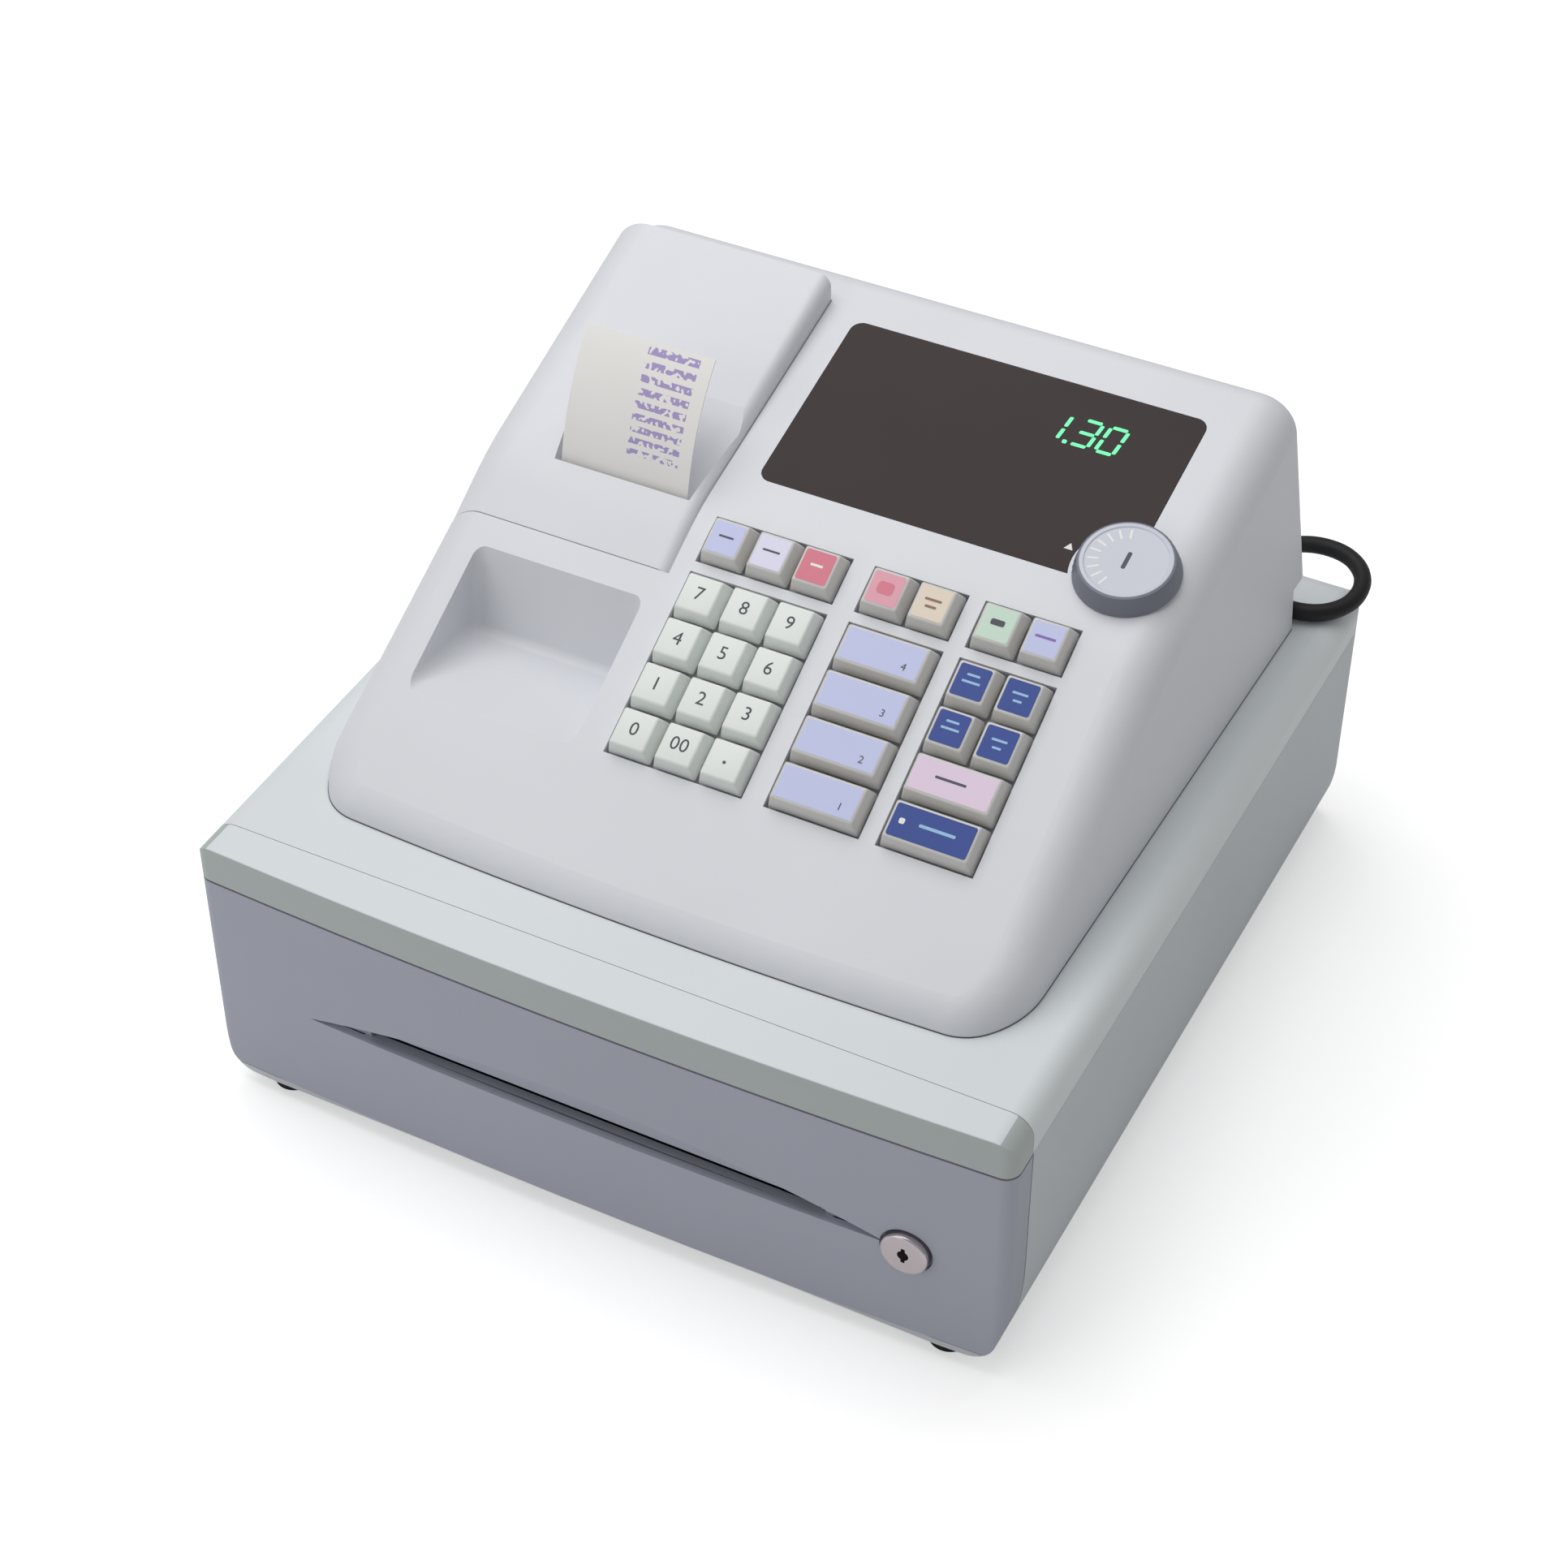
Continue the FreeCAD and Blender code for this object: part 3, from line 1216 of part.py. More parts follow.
LEAD = size("lead_radius")
CHANNEL = size("channel_y")
LEAD_ROUTE = [
    (HALF - 59, CHANNEL + 6.4, DECK + 5.3), (HALF - 37, CHANNEL + 6.4, DECK + 5.3),
    (HALF - 13.4, CHANNEL + 6.5, DECK + 3.9), (HALF - 0.5, CHANNEL + 19.4, DECK + 4.1),
    (HALF - 0.5, BACK - 2.9, DECK + 5.3), (HALF - 13.4, BACK + 10, DECK + 5.5),
    (HALF - 35, BACK + 14.5, DECK + 0.5), (HALF - 57, BACK + 16, 0.8631 * DECK),
    (HALF - 75, BACK + 17, 0.6722 * DECK), (HALF - 90, BACK + 18, 0.473 * DECK),
    (HALF - 106, BACK + 20.5, 0.2822 * DECK), (HALF - 127, BACK + 22.5, 14),
    (HALF - 153, BACK + 22.5, 3.8), (HALF - 185, BACK + 22.5, 3.8),
]


def gland_solid():
    """Strain relief in the channel: a block on the head's back wall with a tapered sleeve along the lead."""
    start = Vector(*LEAD_ROUTE[0])
    back = size("channel_y")
    base = block((size("gland_x") - 7, back, DECK + 0.3), (size("gland_x") + 7, start.y + 5.2, start.z + 6))
    length = start.x - size("gland_x") - 7
    sleeve = Part.makeCone(5.0, LEAD + 0.6, length, Vector(start.x - length, start.y, start.z), Vector(1, 0, 0))
    spigot = Part.makeCylinder(4.0, 5, Vector(size("gland_x"), back - 5, above("gland_rise")), Vector(0, 1, 0))
    return base.fuse(sleeve).fuse(spigot).removeSplitter()


def rounded_path(points):
    """Straight runs joined by the largest tangent arcs that the runs allow; prints each radius."""
    pts = [Vector(*p) for p in points]
    edges = []
    radii = []
    here = pts[0]
    for before, corner, after in zip(pts, pts[1:], pts[2:]):
        enter = corner - before
        leave = after - corner
        turn = enter.getAngle(leave)
        reach = 0.45 * min(enter.Length, leave.Length)
        radii.append(round(reach / math.tan(turn / 2), 1))
        enter.normalize()
        leave.normalize()
        a = corner - enter * reach
        b = corner + leave * reach
        inward = leave - enter
        inward.normalize()
        radius = reach / math.tan(turn / 2)
        centre = corner + inward * (radius / math.cos(turn / 2))
        edges.append(line(here, a))
        edges.append(arc3(a, centre - inward * radius, b))
        here = b
    edges.append(line(here, pts[-1]))
    print("lead radii", radii)
    return Part.Wire(edges)


def lead_tube():
    """The free stretch of the mains lead."""
    path = rounded_path(LEAD_ROUTE)
    first = Vector(*LEAD_ROUTE[1]) - Vector(*LEAD_ROUTE[0])
    ring = Part.Wire([Part.makeCircle(LEAD, Vector(*LEAD_ROUTE[0]), first)])
    tube = path.makePipeShell([ring], True, False)
    print("lead volume share", round(tube.Volume / (math.pi * LEAD * LEAD * path.Length), 4), "length", round(path.Length, 1))
    return tube


HANK_TURNS = 3
HANK_PITCH = 2 * LEAD + 0.6
HANK_HALF = size("hank_straight") / 2
HANK_RADIUS = size("hank_radius")
HANK_X = LEAD_ROUTE[-1][0] - HANK_HALF
HANK_Y = LEAD_ROUTE[-1][1] + HANK_RADIUS
HANK_LOW = LEAD_ROUTE[-1][2]
HANK_TAIL = 22.0
DROP = 4.0
DROP_RUN = 24.0


def hank_path():
    """Long loops wound inward on the counter, a lift on one straight, then outward on top."""
    edges = []
    here = Vector(HANK_X + HANK_HALF, HANK_Y - HANK_RADIUS, HANK_LOW)

    def straight(x):
        nonlocal here
        edges.append(line(here, Vector(x, here.y, here.z)))
        here = Vector(x, here.y, here.z)

    def slant(x, rise):
        nonlocal here
        low = here
        high = Vector(x, here.y, here.z + rise)
        middle = (low + high) / 2
        bend = (high.x - low.x) ** 2 + rise ** 2
        radius = bend / (4 * abs(rise))
        sign = 1 if rise > 0 else -1
        half_turn = math.asin(abs(high.x - low.x) / 2 / radius) / 2
        step = radius * math.sin(half_turn)
        sag = radius * (1 - math.cos(half_turn))
        edges.append(arc3(low, low + Vector(-step, 0, sign * sag), middle))
        edges.append(arc3(middle, high + Vector(step, 0, -sign * sag), high))
        here = high

    def turned(side, radius):
        nonlocal here
        away = 1 if side < 0 else -1
        centre = here + Vector(0, away * radius, 0)
        end = centre + Vector(0, away * radius, 0)
        edges.append(arc3(here, centre + Vector(side * radius, 0, 0), end))
        here = end

    radius = HANK_RADIUS
    for half_turn in range(2 * HANK_TURNS):
        side = -1 if half_turn % 2 == 0 else 1
        straight(HANK_X + side * HANK_HALF)
        turned(side, radius)
        radius -= HANK_PITCH / 2
    slant(HANK_X - HANK_HALF, HANK_PITCH)
    for half_turn in range(2 * HANK_TURNS):
        side = -1 if half_turn % 2 == 0 else 1
        if half_turn:
            straight(HANK_X + side * HANK_HALF)
        turned(side, radius)
        radius += HANK_PITCH / 2
    straight(HANK_X - HANK_HALF - HANK_TAIL)
    slant(HANK_X - HANK_HALF - HANK_TAIL - DROP_RUN, -DROP)
    straight(here.x - 4 * LEAD)
    return Part.Wire(edges), here


def least_gap(path):
    """Least clearance between stretches of the winding that lie well apart along it."""
    points = path.discretize(Distance=1.5)
    step = path.Length / (len(points) - 1)
    skip = int(12 * LEAD / step)
    closest = WIDE
    for index, point in enumerate(points):
        for other in points[index + skip:]:
            closest = min(closest, point.distanceToPoint(other))
    return closest - 2 * LEAD


def coil_tube():
    """The put-away length as one unbroken tube."""
    path, end = hank_path()
    start = Vector(*LEAD_ROUTE[-1])
    ring = Part.Wire([Part.makeCircle(LEAD, start, Vector(-1, 0, 0))])
    print("hank gap", round(least_gap(path), 2), "length", round(path.Length, 1))
    return path.makePipeShell([ring], True, False), end


def plug_solid(end):
    """Two-pin mains plug lying on the counter at the end of the lead."""
    wide = 9.0
    body = block((end.x - 31, end.y - wide, 0.2), (end.x, end.y + wide, 2 * end.z - 0.2))
    body = body.makeFillet(3.5, [e for e in body.Edges if e.BoundBox.XLength > 20])
    for side in (-1, 1):
        pin = Part.makeCylinder(2.0, 19, Vector(end.x - 50, end.y + side * 6.0, end.z), Vector(1, 0, 0))
        body = body.fuse(pin)
    return body


cord_gland = shaped("cord_gland", gland_solid())
power_cord = shaped("power_cord", lead_tube())
COIL_TUBE, LEAD_END = coil_tube()
cord_coil = shaped("cord_coil", COIL_TUBE)
power_plug = shaped("power_plug", plug_solid(LEAD_END))
NODES = [
    lower_base, lower_cover, front_trim, rubber_feet, drawer_front, drawer_box, coin_tray, *note_clips,
    kick_spring, drawer_lock, latch_striker, drawer_latch, latch_solenoid, head_case, printer_cover, receipt_paper, paper_roll,
    platen_roller, ink_roller, printer_frame, transformer, main_board, display_windows,
    display_tubes, mode_dial, *keys, cord_gland, power_cord, cord_coil, power_plug,
]


def write_nodes():
    """Looks for failed objects and bad shapes, then writes one file for each piece."""
    doc.recompute()
    for thing in doc.Objects:
        if "Invalid" in thing.State or "Error" in thing.State:
            raise RuntimeError(f"{thing.Label} failed: {thing.State}")
    for node in NODES:
        if node.Shape.isNull() or not node.Shape.isValid():
            raise RuntimeError(f"{node.Label} has no sound shape")
    os.makedirs("parts", exist_ok=True)
    for node in NODES:
        node.Shape.exportStep(f"parts/{node.Label}.step")
    print(len(NODES), "pieces written")


write_nodes()
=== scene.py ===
"""Dresses a compact counter till: keyboard head with receipt printer on a cash drawer unit."""
from __future__ import annotations

import json
import logging
import math
from dataclasses import dataclass, field
from enum import Enum
from typing import Optional, Sequence

import bmesh
import bpy
from mathutils import Matrix, Vector

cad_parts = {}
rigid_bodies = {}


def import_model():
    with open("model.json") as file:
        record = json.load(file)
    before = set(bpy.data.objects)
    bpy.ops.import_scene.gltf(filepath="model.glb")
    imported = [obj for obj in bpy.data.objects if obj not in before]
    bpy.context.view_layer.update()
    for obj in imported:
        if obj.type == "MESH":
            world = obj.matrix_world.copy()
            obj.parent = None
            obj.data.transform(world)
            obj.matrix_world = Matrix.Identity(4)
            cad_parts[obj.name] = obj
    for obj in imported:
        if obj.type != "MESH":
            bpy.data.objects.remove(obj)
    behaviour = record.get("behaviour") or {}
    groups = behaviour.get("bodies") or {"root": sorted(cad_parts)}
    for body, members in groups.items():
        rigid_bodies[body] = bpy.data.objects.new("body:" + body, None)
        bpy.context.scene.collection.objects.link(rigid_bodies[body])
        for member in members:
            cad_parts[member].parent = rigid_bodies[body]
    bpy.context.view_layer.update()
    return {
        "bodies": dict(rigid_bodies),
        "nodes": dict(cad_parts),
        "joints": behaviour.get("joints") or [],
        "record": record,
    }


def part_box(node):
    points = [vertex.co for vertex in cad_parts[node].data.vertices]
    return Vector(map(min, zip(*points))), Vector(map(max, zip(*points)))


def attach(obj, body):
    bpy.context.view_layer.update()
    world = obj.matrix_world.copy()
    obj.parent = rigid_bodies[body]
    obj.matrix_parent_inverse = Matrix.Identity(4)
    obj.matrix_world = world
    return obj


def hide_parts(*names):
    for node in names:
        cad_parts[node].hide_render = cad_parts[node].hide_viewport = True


LOG = logging.getLogger("till")
MM = 0.001
Colour = tuple[float, float, float]
Stroke = tuple[float, float, float, float, str]
"""A bar printed on a key: its middle across and up, width and height in mm, and its finish."""

FRAME: dict = {}


def tint(red: int, green: int, blue: int) -> Colour:
    """Turns a screen colour into scene light values.

    Args:
        red: Red from 0 to 255.
        green: Green from 0 to 255.
        blue: Blue from 0 to 255.

    Returns:
        The linear colour.
    """
    def linear(value: float) -> float:
        """One channel, from 0 to 1."""
        return value / 12.92 if value <= 0.04045 else ((value + 0.055) / 1.055) ** 2.4

    return tuple(linear(channel / 255) for channel in (red, green, blue))


def add_node(tree: bpy.types.NodeTree, kind: str, values: Optional[dict] = None,
             operation: str = "", group: Optional[bpy.types.NodeTree] = None) -> bpy.types.Node:
    """Adds a shader node and sets its inputs.

    Args:
        tree: The material's or the group's node tree.
        kind: The node's type, without its common prefix.
        values: Input values by socket name.
        operation: What a Math node does.
        group: The tree that a Group node places.

    Returns:
        The node.
    """
    node = tree.nodes.new(f"ShaderNode{kind}")
    if operation:
        node.operation = operation
    if group:
        node.node_tree = group
    for label, value in (values or {}).items():
        node.inputs[label].default_value = value
    return node


def work_out(tree: bpy.types.NodeTree, operation: str, first: bpy.types.NodeSocket,
             second: float | bpy.types.NodeSocket = 0.0) -> bpy.types.NodeSocket:
    """Works out one sum or comparison with a Math node.

    Args:
        tree: The node tree.
        operation: What the node does.
        first: Socket with the first value.
        second: The second value, or its socket.

    Returns:
        Socket with the result.
    """
    node = add_node(tree, "Math", operation=operation)
    tree.links.new(first, node.inputs[0])
    if isinstance(second, float):
        node.inputs[1].default_value = second
    else:
        tree.links.new(second, node.inputs[1])
    return node.outputs["Value"]


def blend(tree: bpy.types.NodeTree, share: bpy.types.NodeSocket,
          first: Colour | bpy.types.NodeSocket, second: Colour) -> bpy.types.NodeSocket:
    """Blends two colours.

    Args:
        tree: The node tree.
        share: Socket with the second colour's share.
        first: The first colour, or its socket.
        second: The second colour.

    Returns:
        Socket with the blend.
    """
    mix = tree.nodes.new("ShaderNodeMix")
    mix.data_type = "RGBA"
    if isinstance(first, tuple):
        mix.inputs["A"].default_value = (*first, 1.0)
    else:
        tree.links.new(first, mix.inputs["A"])
    mix.inputs["B"].default_value = (*second, 1.0)
    tree.links.new(share, mix.inputs["Factor"])
    return mix.outputs["Result"]


def linked(name: str, data: bpy.types.ID) -> bpy.types.Object:
    """Puts an object with that data in the scene.

    Args:
        name: The object's name.
        data: Its mesh, curve, lamp or camera.

    Returns:
        The object.
    """
    thing = bpy.data.objects.new(name, data)
    bpy.context.scene.collection.objects.link(thing)
    return thing


def mesh_of(name: str, form: bmesh.types.BMesh) -> bpy.types.Mesh:
    """Turns a form, which is freed, into a mesh.

    Args:
        name: The mesh's name.
        form: The form.

    Returns:
        The mesh.
    """
    mesh = bpy.data.meshes.new(name)
    form.to_mesh(mesh)
    form.free()
    return mesh


def merge(whole: bmesh.types.BMesh, part: bmesh.types.BMesh) -> None:
    """Adds one form to another and frees it.

    Args:
        whole: The form that grows.
        part: The form that goes into it.
    """
    mesh = mesh_of("part", part)
    whole.from_mesh(mesh)
    bpy.data.meshes.remove(mesh)


class Surface(Enum):
    """How a finish answers light."""

    PLASTIC = "plastic"
    METAL = "metal"
    RUBBER = "rubber"
    PAPER = "paper"
    GLOW = "glow"


class SharedGroups:
    """Shader groups that several finishes use, each built once."""

    def __init__(self) -> None:
        """Builds the groups."""
        self.grain = self._grain()
        self.handling = self._handling()
        self.print_rows = self._print_rows()

    @staticmethod
    def _new(name: str, inputs: Sequence[tuple[str, float]],
             outputs: Sequence[str]) -> bpy.types.NodeTree:
        """Starts a group with value sockets.

        Args:
            name: The group's name.
            inputs: Each input's name and usual value.
            outputs: Names of the outputs.

        Returns:
            The empty group.
        """
        tree = bpy.data.node_groups.new(name, "ShaderNodeTree")
        for label, value in inputs:
            socket = tree.interface.new_socket(
                label, in_out="INPUT", socket_type="NodeSocketFloat")
            socket.default_value = value
        for label in outputs:
            tree.interface.new_socket(label, in_out="OUTPUT", socket_type="NodeSocketFloat")
        tree.nodes.new("NodeGroupInput").name = "start"
        tree.nodes.new("NodeGroupOutput").name = "end"
        return tree

    def _grain(self) -> bpy.types.NodeTree:
        """Spark-eroded mould texture, with a slow drift in shade.

        Returns:
            The group.
        """
        inputs = [("Scale", 900.0), ("Drift", 14.0)]
        tree = self._new("mould_grain", inputs, ["Height", "Patch"])
        place = add_node(tree, "TexCoord")
        for scale, detail, result in (("Scale", 3.0, "Height"), ("Drift", 4.0, "Patch")):
            noise = add_node(tree, "TexNoise", {"Detail": detail})
            tree.links.new(place.outputs["Object"], noise.inputs["Vector"])
            tree.links.new(tree.nodes["start"].outputs[scale], noise.inputs["Scale"])
            tree.links.new(noise.outputs["Fac"], tree.nodes["end"].inputs[result])
        return tree

    def _handling(self) -> bpy.types.NodeTree:
        """Faint smudges left by hands and cloths.

        Returns:
            The group.
        """
        tree = self._new("handling", [("Amount", 0.3)], ["Smudge"])
        place = add_node(tree, "TexCoord")
        cloud = add_node(tree, "TexNoise", {"Scale": 22.0, "Detail": 6.0, "Distortion": 0.6})
        strong = add_node(tree, "MapRange", {"From Min": 0.35, "From Max": 0.75})
        tree.links.new(place.outputs["Object"], cloud.inputs["Vector"])
        tree.links.new(cloud.outputs["Fac"], strong.inputs["Value"])
        amount = tree.nodes["start"].outputs["Amount"]
        smudge = work_out(tree, "MULTIPLY", strong.outputs["Result"], amount)
        tree.links.new(smudge, tree.nodes["end"].inputs["Smudge"])
        return tree

    def _print_rows(self) -> bpy.types.NodeTree:
        """Rows of broken strokes, like the columns of figures on a receipt.

        Returns:
            The group.
        """
        inputs = [("Left", 0.0), ("Right", 1.0), ("Pitch", 4.2 * MM), ("Lowest", 0.0)]
        tree = self._new("print_rows", inputs, ["Ink"])
        limits = tree.nodes["start"].outputs
        place = add_node(tree, "TexCoord")
        split = add_node(tree, "SeparateXYZ")
        letters = add_node(tree, "Mapping", {"Scale": (620.0, 620.0, 520.0)})
        noise = add_node(tree, "TexNoise", {"Scale": 1.0, "Detail": 0.0})
        tree.links.new(place.outputs["Object"], split.inputs["Vector"])
        tree.links.new(place.outputs["Object"], letters.inputs["Vector"])
        tree.links.new(letters.outputs["Vector"], noise.inputs["Vector"])
        across, high = split.outputs["X"], split.outputs["Z"]
        row = work_out(tree, "FRACT", work_out(tree, "DIVIDE", high, limits["Pitch"]))
        stroke = work_out(tree, "LESS_THAN", row, 0.55)
        ink = work_out(tree, "GREATER_THAN", noise.outputs["Fac"], 0.46)
        for limit in (
            stroke,
            work_out(tree, "GREATER_THAN", across, limits["Left"]),
            work_out(tree, "LESS_THAN", across, limits["Right"]),
            work_out(tree, "GREATER_THAN", high, limits["Lowest"]),
        ):
            ink = work_out(tree, "MULTIPLY", ink, limit)
        tree.links.new(ink, tree.nodes["end"].inputs["Ink"])
        return tree


@dataclass(frozen=True)
class Finish:
    """One finish: its colour, gloss, texture and wear."""

    name: str
    colour: Colour
    surface: Surface = Surface.PLASTIC
    roughness: float = 0.42
    grain_scale: float = 900.0
    grain_depth: float = 0.06
    wear: float = 0.25
    shade: float = 0.04
    coat: float = 0.0
    specular: float = 0.5
    printed: Optional[tuple[float, float, float]] = None
    upper: Optional[Colour] = None
    upper_from: float = 0.0

    GRAIN_HEIGHT = 0.1 * MM
    SMUDGE_GAIN = 0.22
    COAT_ROUGHNESS = 0.08
    GLOW_STRENGTH = 0.75
    INK = tint(176, 160, 208)

    def build(self, groups: SharedGroups) -> bpy.types.Material:
        """Makes the material.

        Args:
            groups: The shared shader groups.

        Returns:
            A procedural material.
        """
        material = bpy.data.materials.new(self.name)
        material.use_nodes = True
        tree = material.node_tree
        shader = tree.nodes["Principled BSDF"]
        grain = add_node(tree, "Group", {"Scale": self.grain_scale}, group=groups.grain)
        worn = add_node(tree, "Group", {"Amount": self.wear}, group=groups.handling)
        colour = blend(tree, grain.outputs["Patch"],
                       self._scaled(1.0 + self.shade), self._scaled(1.0 - self.shade))
        if self.printed:
            limits = dict(zip(("Left", "Right", "Lowest"), self.printed))
            rows = add_node(tree, "Group", limits, group=groups.print_rows)
            colour = blend(tree, rows.outputs["Ink"], colour, self.INK)
        if self.upper:
            colour = self._two_tone(tree, colour)
        tree.links.new(colour, shader.inputs["Base Color"])
        dullest = min(1.0, self.roughness + self.SMUDGE_GAIN)
        gloss = add_node(tree, "MapRange", {"To Min": self.roughness, "To Max": dullest})
        tree.links.new(worn.outputs["Smudge"], gloss.inputs["Value"])
        tree.links.new(gloss.outputs["Result"], shader.inputs["Roughness"])
        texture = {"Strength": self.grain_depth, "Distance": self.GRAIN_HEIGHT}
        bump = add_node(tree, "Bump", texture)
        tree.links.new(grain.outputs["Height"], bump.inputs["Height"])
        tree.links.new(bump.outputs["Normal"], shader.inputs["Normal"])
        self._character(tree, shader, colour)
        return material

    def _scaled(self, factor: float) -> Colour:
        """The colour made a little lighter or darker."""
        return tuple(min(1.0, channel * factor) for channel in self.colour)

    def _two_tone(self, tree: bpy.types.NodeTree,
                  lower: bpy.types.NodeSocket) -> bpy.types.NodeSocket:
        """Changes to a second colour above a height, as where two mouldings of a strip meet.

        Args:
            tree: The material's node tree.
            lower: Socket with the colour below.

        Returns:
            Socket with both colours.
        """
        place = add_node(tree, "TexCoord")
        split = add_node(tree, "SeparateXYZ")
        tree.links.new(place.outputs["Object"], split.inputs["Vector"])
        above = work_out(tree, "GREATER_THAN", split.outputs["Z"], self.upper_from)
        return blend(tree, above, lower, self.upper)

    def _character(self, tree: bpy.types.NodeTree, shader: bpy.types.Node,
                   colour: bpy.types.NodeSocket) -> None:
        """Sets what the kind of surface needs on the shader's own sockets.

        Args:
            tree: The material's node tree.
            shader: The material's shader.
            colour: Socket with the finished colour.
        """
        shader.inputs["Specular IOR Level"].default_value = self.specular
        if self.surface is Surface.METAL:
            shader.inputs["Metallic"].default_value = 1.0
        if self.coat:
            shader.inputs["Coat Weight"].default_value = self.coat
            shader.inputs["Coat Roughness"].default_value = self.COAT_ROUGHNESS
        if self.surface is Surface.GLOW:
            tree.links.new(colour, shader.inputs["Emission Color"])
            shader.inputs["Emission Strength"].default_value = self.GLOW_STRENGTH


class Palette:
    """Every finish of the till, built once and handed out by name."""

    FINISHES = [
        Finish("head_plastic", tint(219, 221, 226), roughness=0.4),
        Finish("deck_plastic", tint(219, 225, 227)),
        Finish("side_plastic", tint(196, 202, 206), roughness=0.45),
        Finish("trim_plastic", tint(176, 184, 182), upper=tint(219, 225, 227),
               upper_from=120.0 * MM),
        Finish("drawer_plastic", tint(170, 173, 186), roughness=0.48, specular=0.35),
        # Painted shade: a near-black finish for the shadow in the gap under the head.
        Finish("head_gap_shade", tint(92, 94, 98), roughness=0.8, specular=0.1),
        # Painted shade: a near-black finish for the shade inside the finger slit.
        Finish("slit_inside_shade", tint(14, 14, 16), roughness=0.9, specular=0.0),
        Finish("inner_plastic", tint(62, 64, 68), roughness=0.5, grain_depth=0.12),
        Finish("foot_rubber", tint(40, 40, 42), Surface.RUBBER, 0.8, grain_depth=0.15,
               specular=0.25),
        Finish("spring_steel", tint(190, 190, 192), Surface.METAL, 0.28, grain_depth=0.02),
        Finish("zinc_plate", tint(196, 198, 202), Surface.METAL, 0.36, 300.0, shade=0.1),
        Finish("lock_nickel", tint(214, 204, 206), Surface.METAL, 0.24, grain_depth=0.02),
        Finish("core_varnish", tint(70, 70, 74), Surface.METAL, 0.55, 400.0),
        Finish("board_green", tint(44, 104, 62), roughness=0.3, shade=0.15, coat=0.4),
        Finish("roller_rubber", tint(42, 42, 46), Surface.RUBBER, 0.6, specular=0.25),
        Finish("smoked_window", tint(34, 13, 17), roughness=0.16, grain_depth=0.0, wear=0.35,
               specular=0.2),
        Finish("display_glass", tint(26, 34, 32), roughness=0.12, coat=0.6),
        Finish("dial_grey", tint(202, 205, 216), roughness=0.4),
        Finish("dial_skirt", tint(118, 121, 134), roughness=0.45),
        Finish("mark_dark", tint(78, 80, 92), roughness=0.6),
        Finish("mark_white", tint(236, 236, 232), roughness=0.5),
        Finish("key_white", tint(228, 233, 229), roughness=0.36),
        Finish("key_digit", tint(74, 78, 84), roughness=0.6),
        Finish("key_clear", tint(208, 207, 204), roughness=0.28, coat=0.1),
        Finish("mark_sky", tint(150, 190, 226), roughness=0.4),
        Finish("mark_purple", tint(126, 96, 176), roughness=0.4),
        Finish("mark_brown", tint(140, 96, 84), roughness=0.4),
        Finish("digit_glow", tint(92, 224, 150), Surface.GLOW, 0.4),
        Finish("cord_sheath", tint(22, 22, 24), Surface.RUBBER, 0.5, grain_depth=0.04,
               specular=0.35),
        Finish("roll_paper", tint(238, 236, 232), Surface.PAPER, 0.8, 500.0, specular=0.2),
    ]
    LABELS = {
        "label_lavender": tint(196, 201, 236), "label_pale": tint(222, 220, 240),
        "label_blue": tint(36, 66, 146), "label_pink": tint(226, 206, 226),
        "label_red": tint(216, 120, 140), "label_rose": tint(226, 160, 176),
        "label_cream": tint(228, 214, 196), "label_green": tint(200, 224, 206),
    }

    def __init__(self) -> None:
        """Builds the shared groups and every finish."""
        self.groups = SharedGroups()
        self.made: dict[str, bpy.types.Material] = {}
        for finish in self.FINISHES:
            self.add(finish)
        for name, colour in self.LABELS.items():
            self.add(Finish(name, colour, roughness=0.34, specular=0.3, coat=0.08))

    def add(self, finish: Finish) -> None:
        """Builds a finish and keeps it under its name."""
        self.made[finish.name] = finish.build(self.groups)

    def __getitem__(self, name: str) -> bpy.types.Material:
        """The material of that name."""
        return self.made[name]


class Piece:
    """A mesh that is built in place and rides on a body."""

    SHARP_ANGLE = math.radians(38)

    def __init__(self, name: str, palette: Palette) -> None:
        """Starts an empty piece.

        Args:
            name: The piece's name.
            palette: Where its finishes come from.
        """
        self.name = name
        self.palette = palette
        self.form = bmesh.new()
        self.slots: list[str] = []

    def finish_index(self, finish: str) -> int:
        """The slot number of a finish, added at its first use.

        Args:
            finish: The finish's name.

        Returns:
            Its slot number on this piece.
        """
        if finish not in self.slots:
            self.slots.append(finish)
        return self.slots.index(finish)

    def take(self, other: bmesh.types.BMesh, finish: str, place: Matrix,
             second: Optional[str] = None) -> None:
        """Moves a small form into place and adds it.

        Args:
            other: The form, which is freed.
            finish: The finish of its faces.
            place: Where it goes.
            second: The finish of its tagged faces, where it has two.
        """
        index = self.finish_index(finish)
        second_index = self.finish_index(second) if second else index
        for face in other.faces:
            face.material_index = second_index if face.tag else index
        bmesh.ops.transform(other, matrix=place, verts=other.verts)
        merge(self.form, other)

    def done(self, body: str, smooth: bool = True) -> bpy.types.Object:
        """Turns the form into an object that rides on a body.

        Args:
            body: The CAD body that it moves with.
            smooth: Whether its rounded faces are smooth.

        Returns:
            The object.
        """
        for face in self.form.faces:
            face.smooth = smooth
        for edge in self.form.edges:
            if len(edge.link_faces) == 2 and edge.calc_face_angle(0.0) > self.SHARP_ANGLE:
                edge.smooth = False
        thing = linked(self.name, mesh_of(self.name, self.form))
        for finish in self.slots:
            thing.data.materials.append(self.palette[finish])
        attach(thing, body)
        return thing


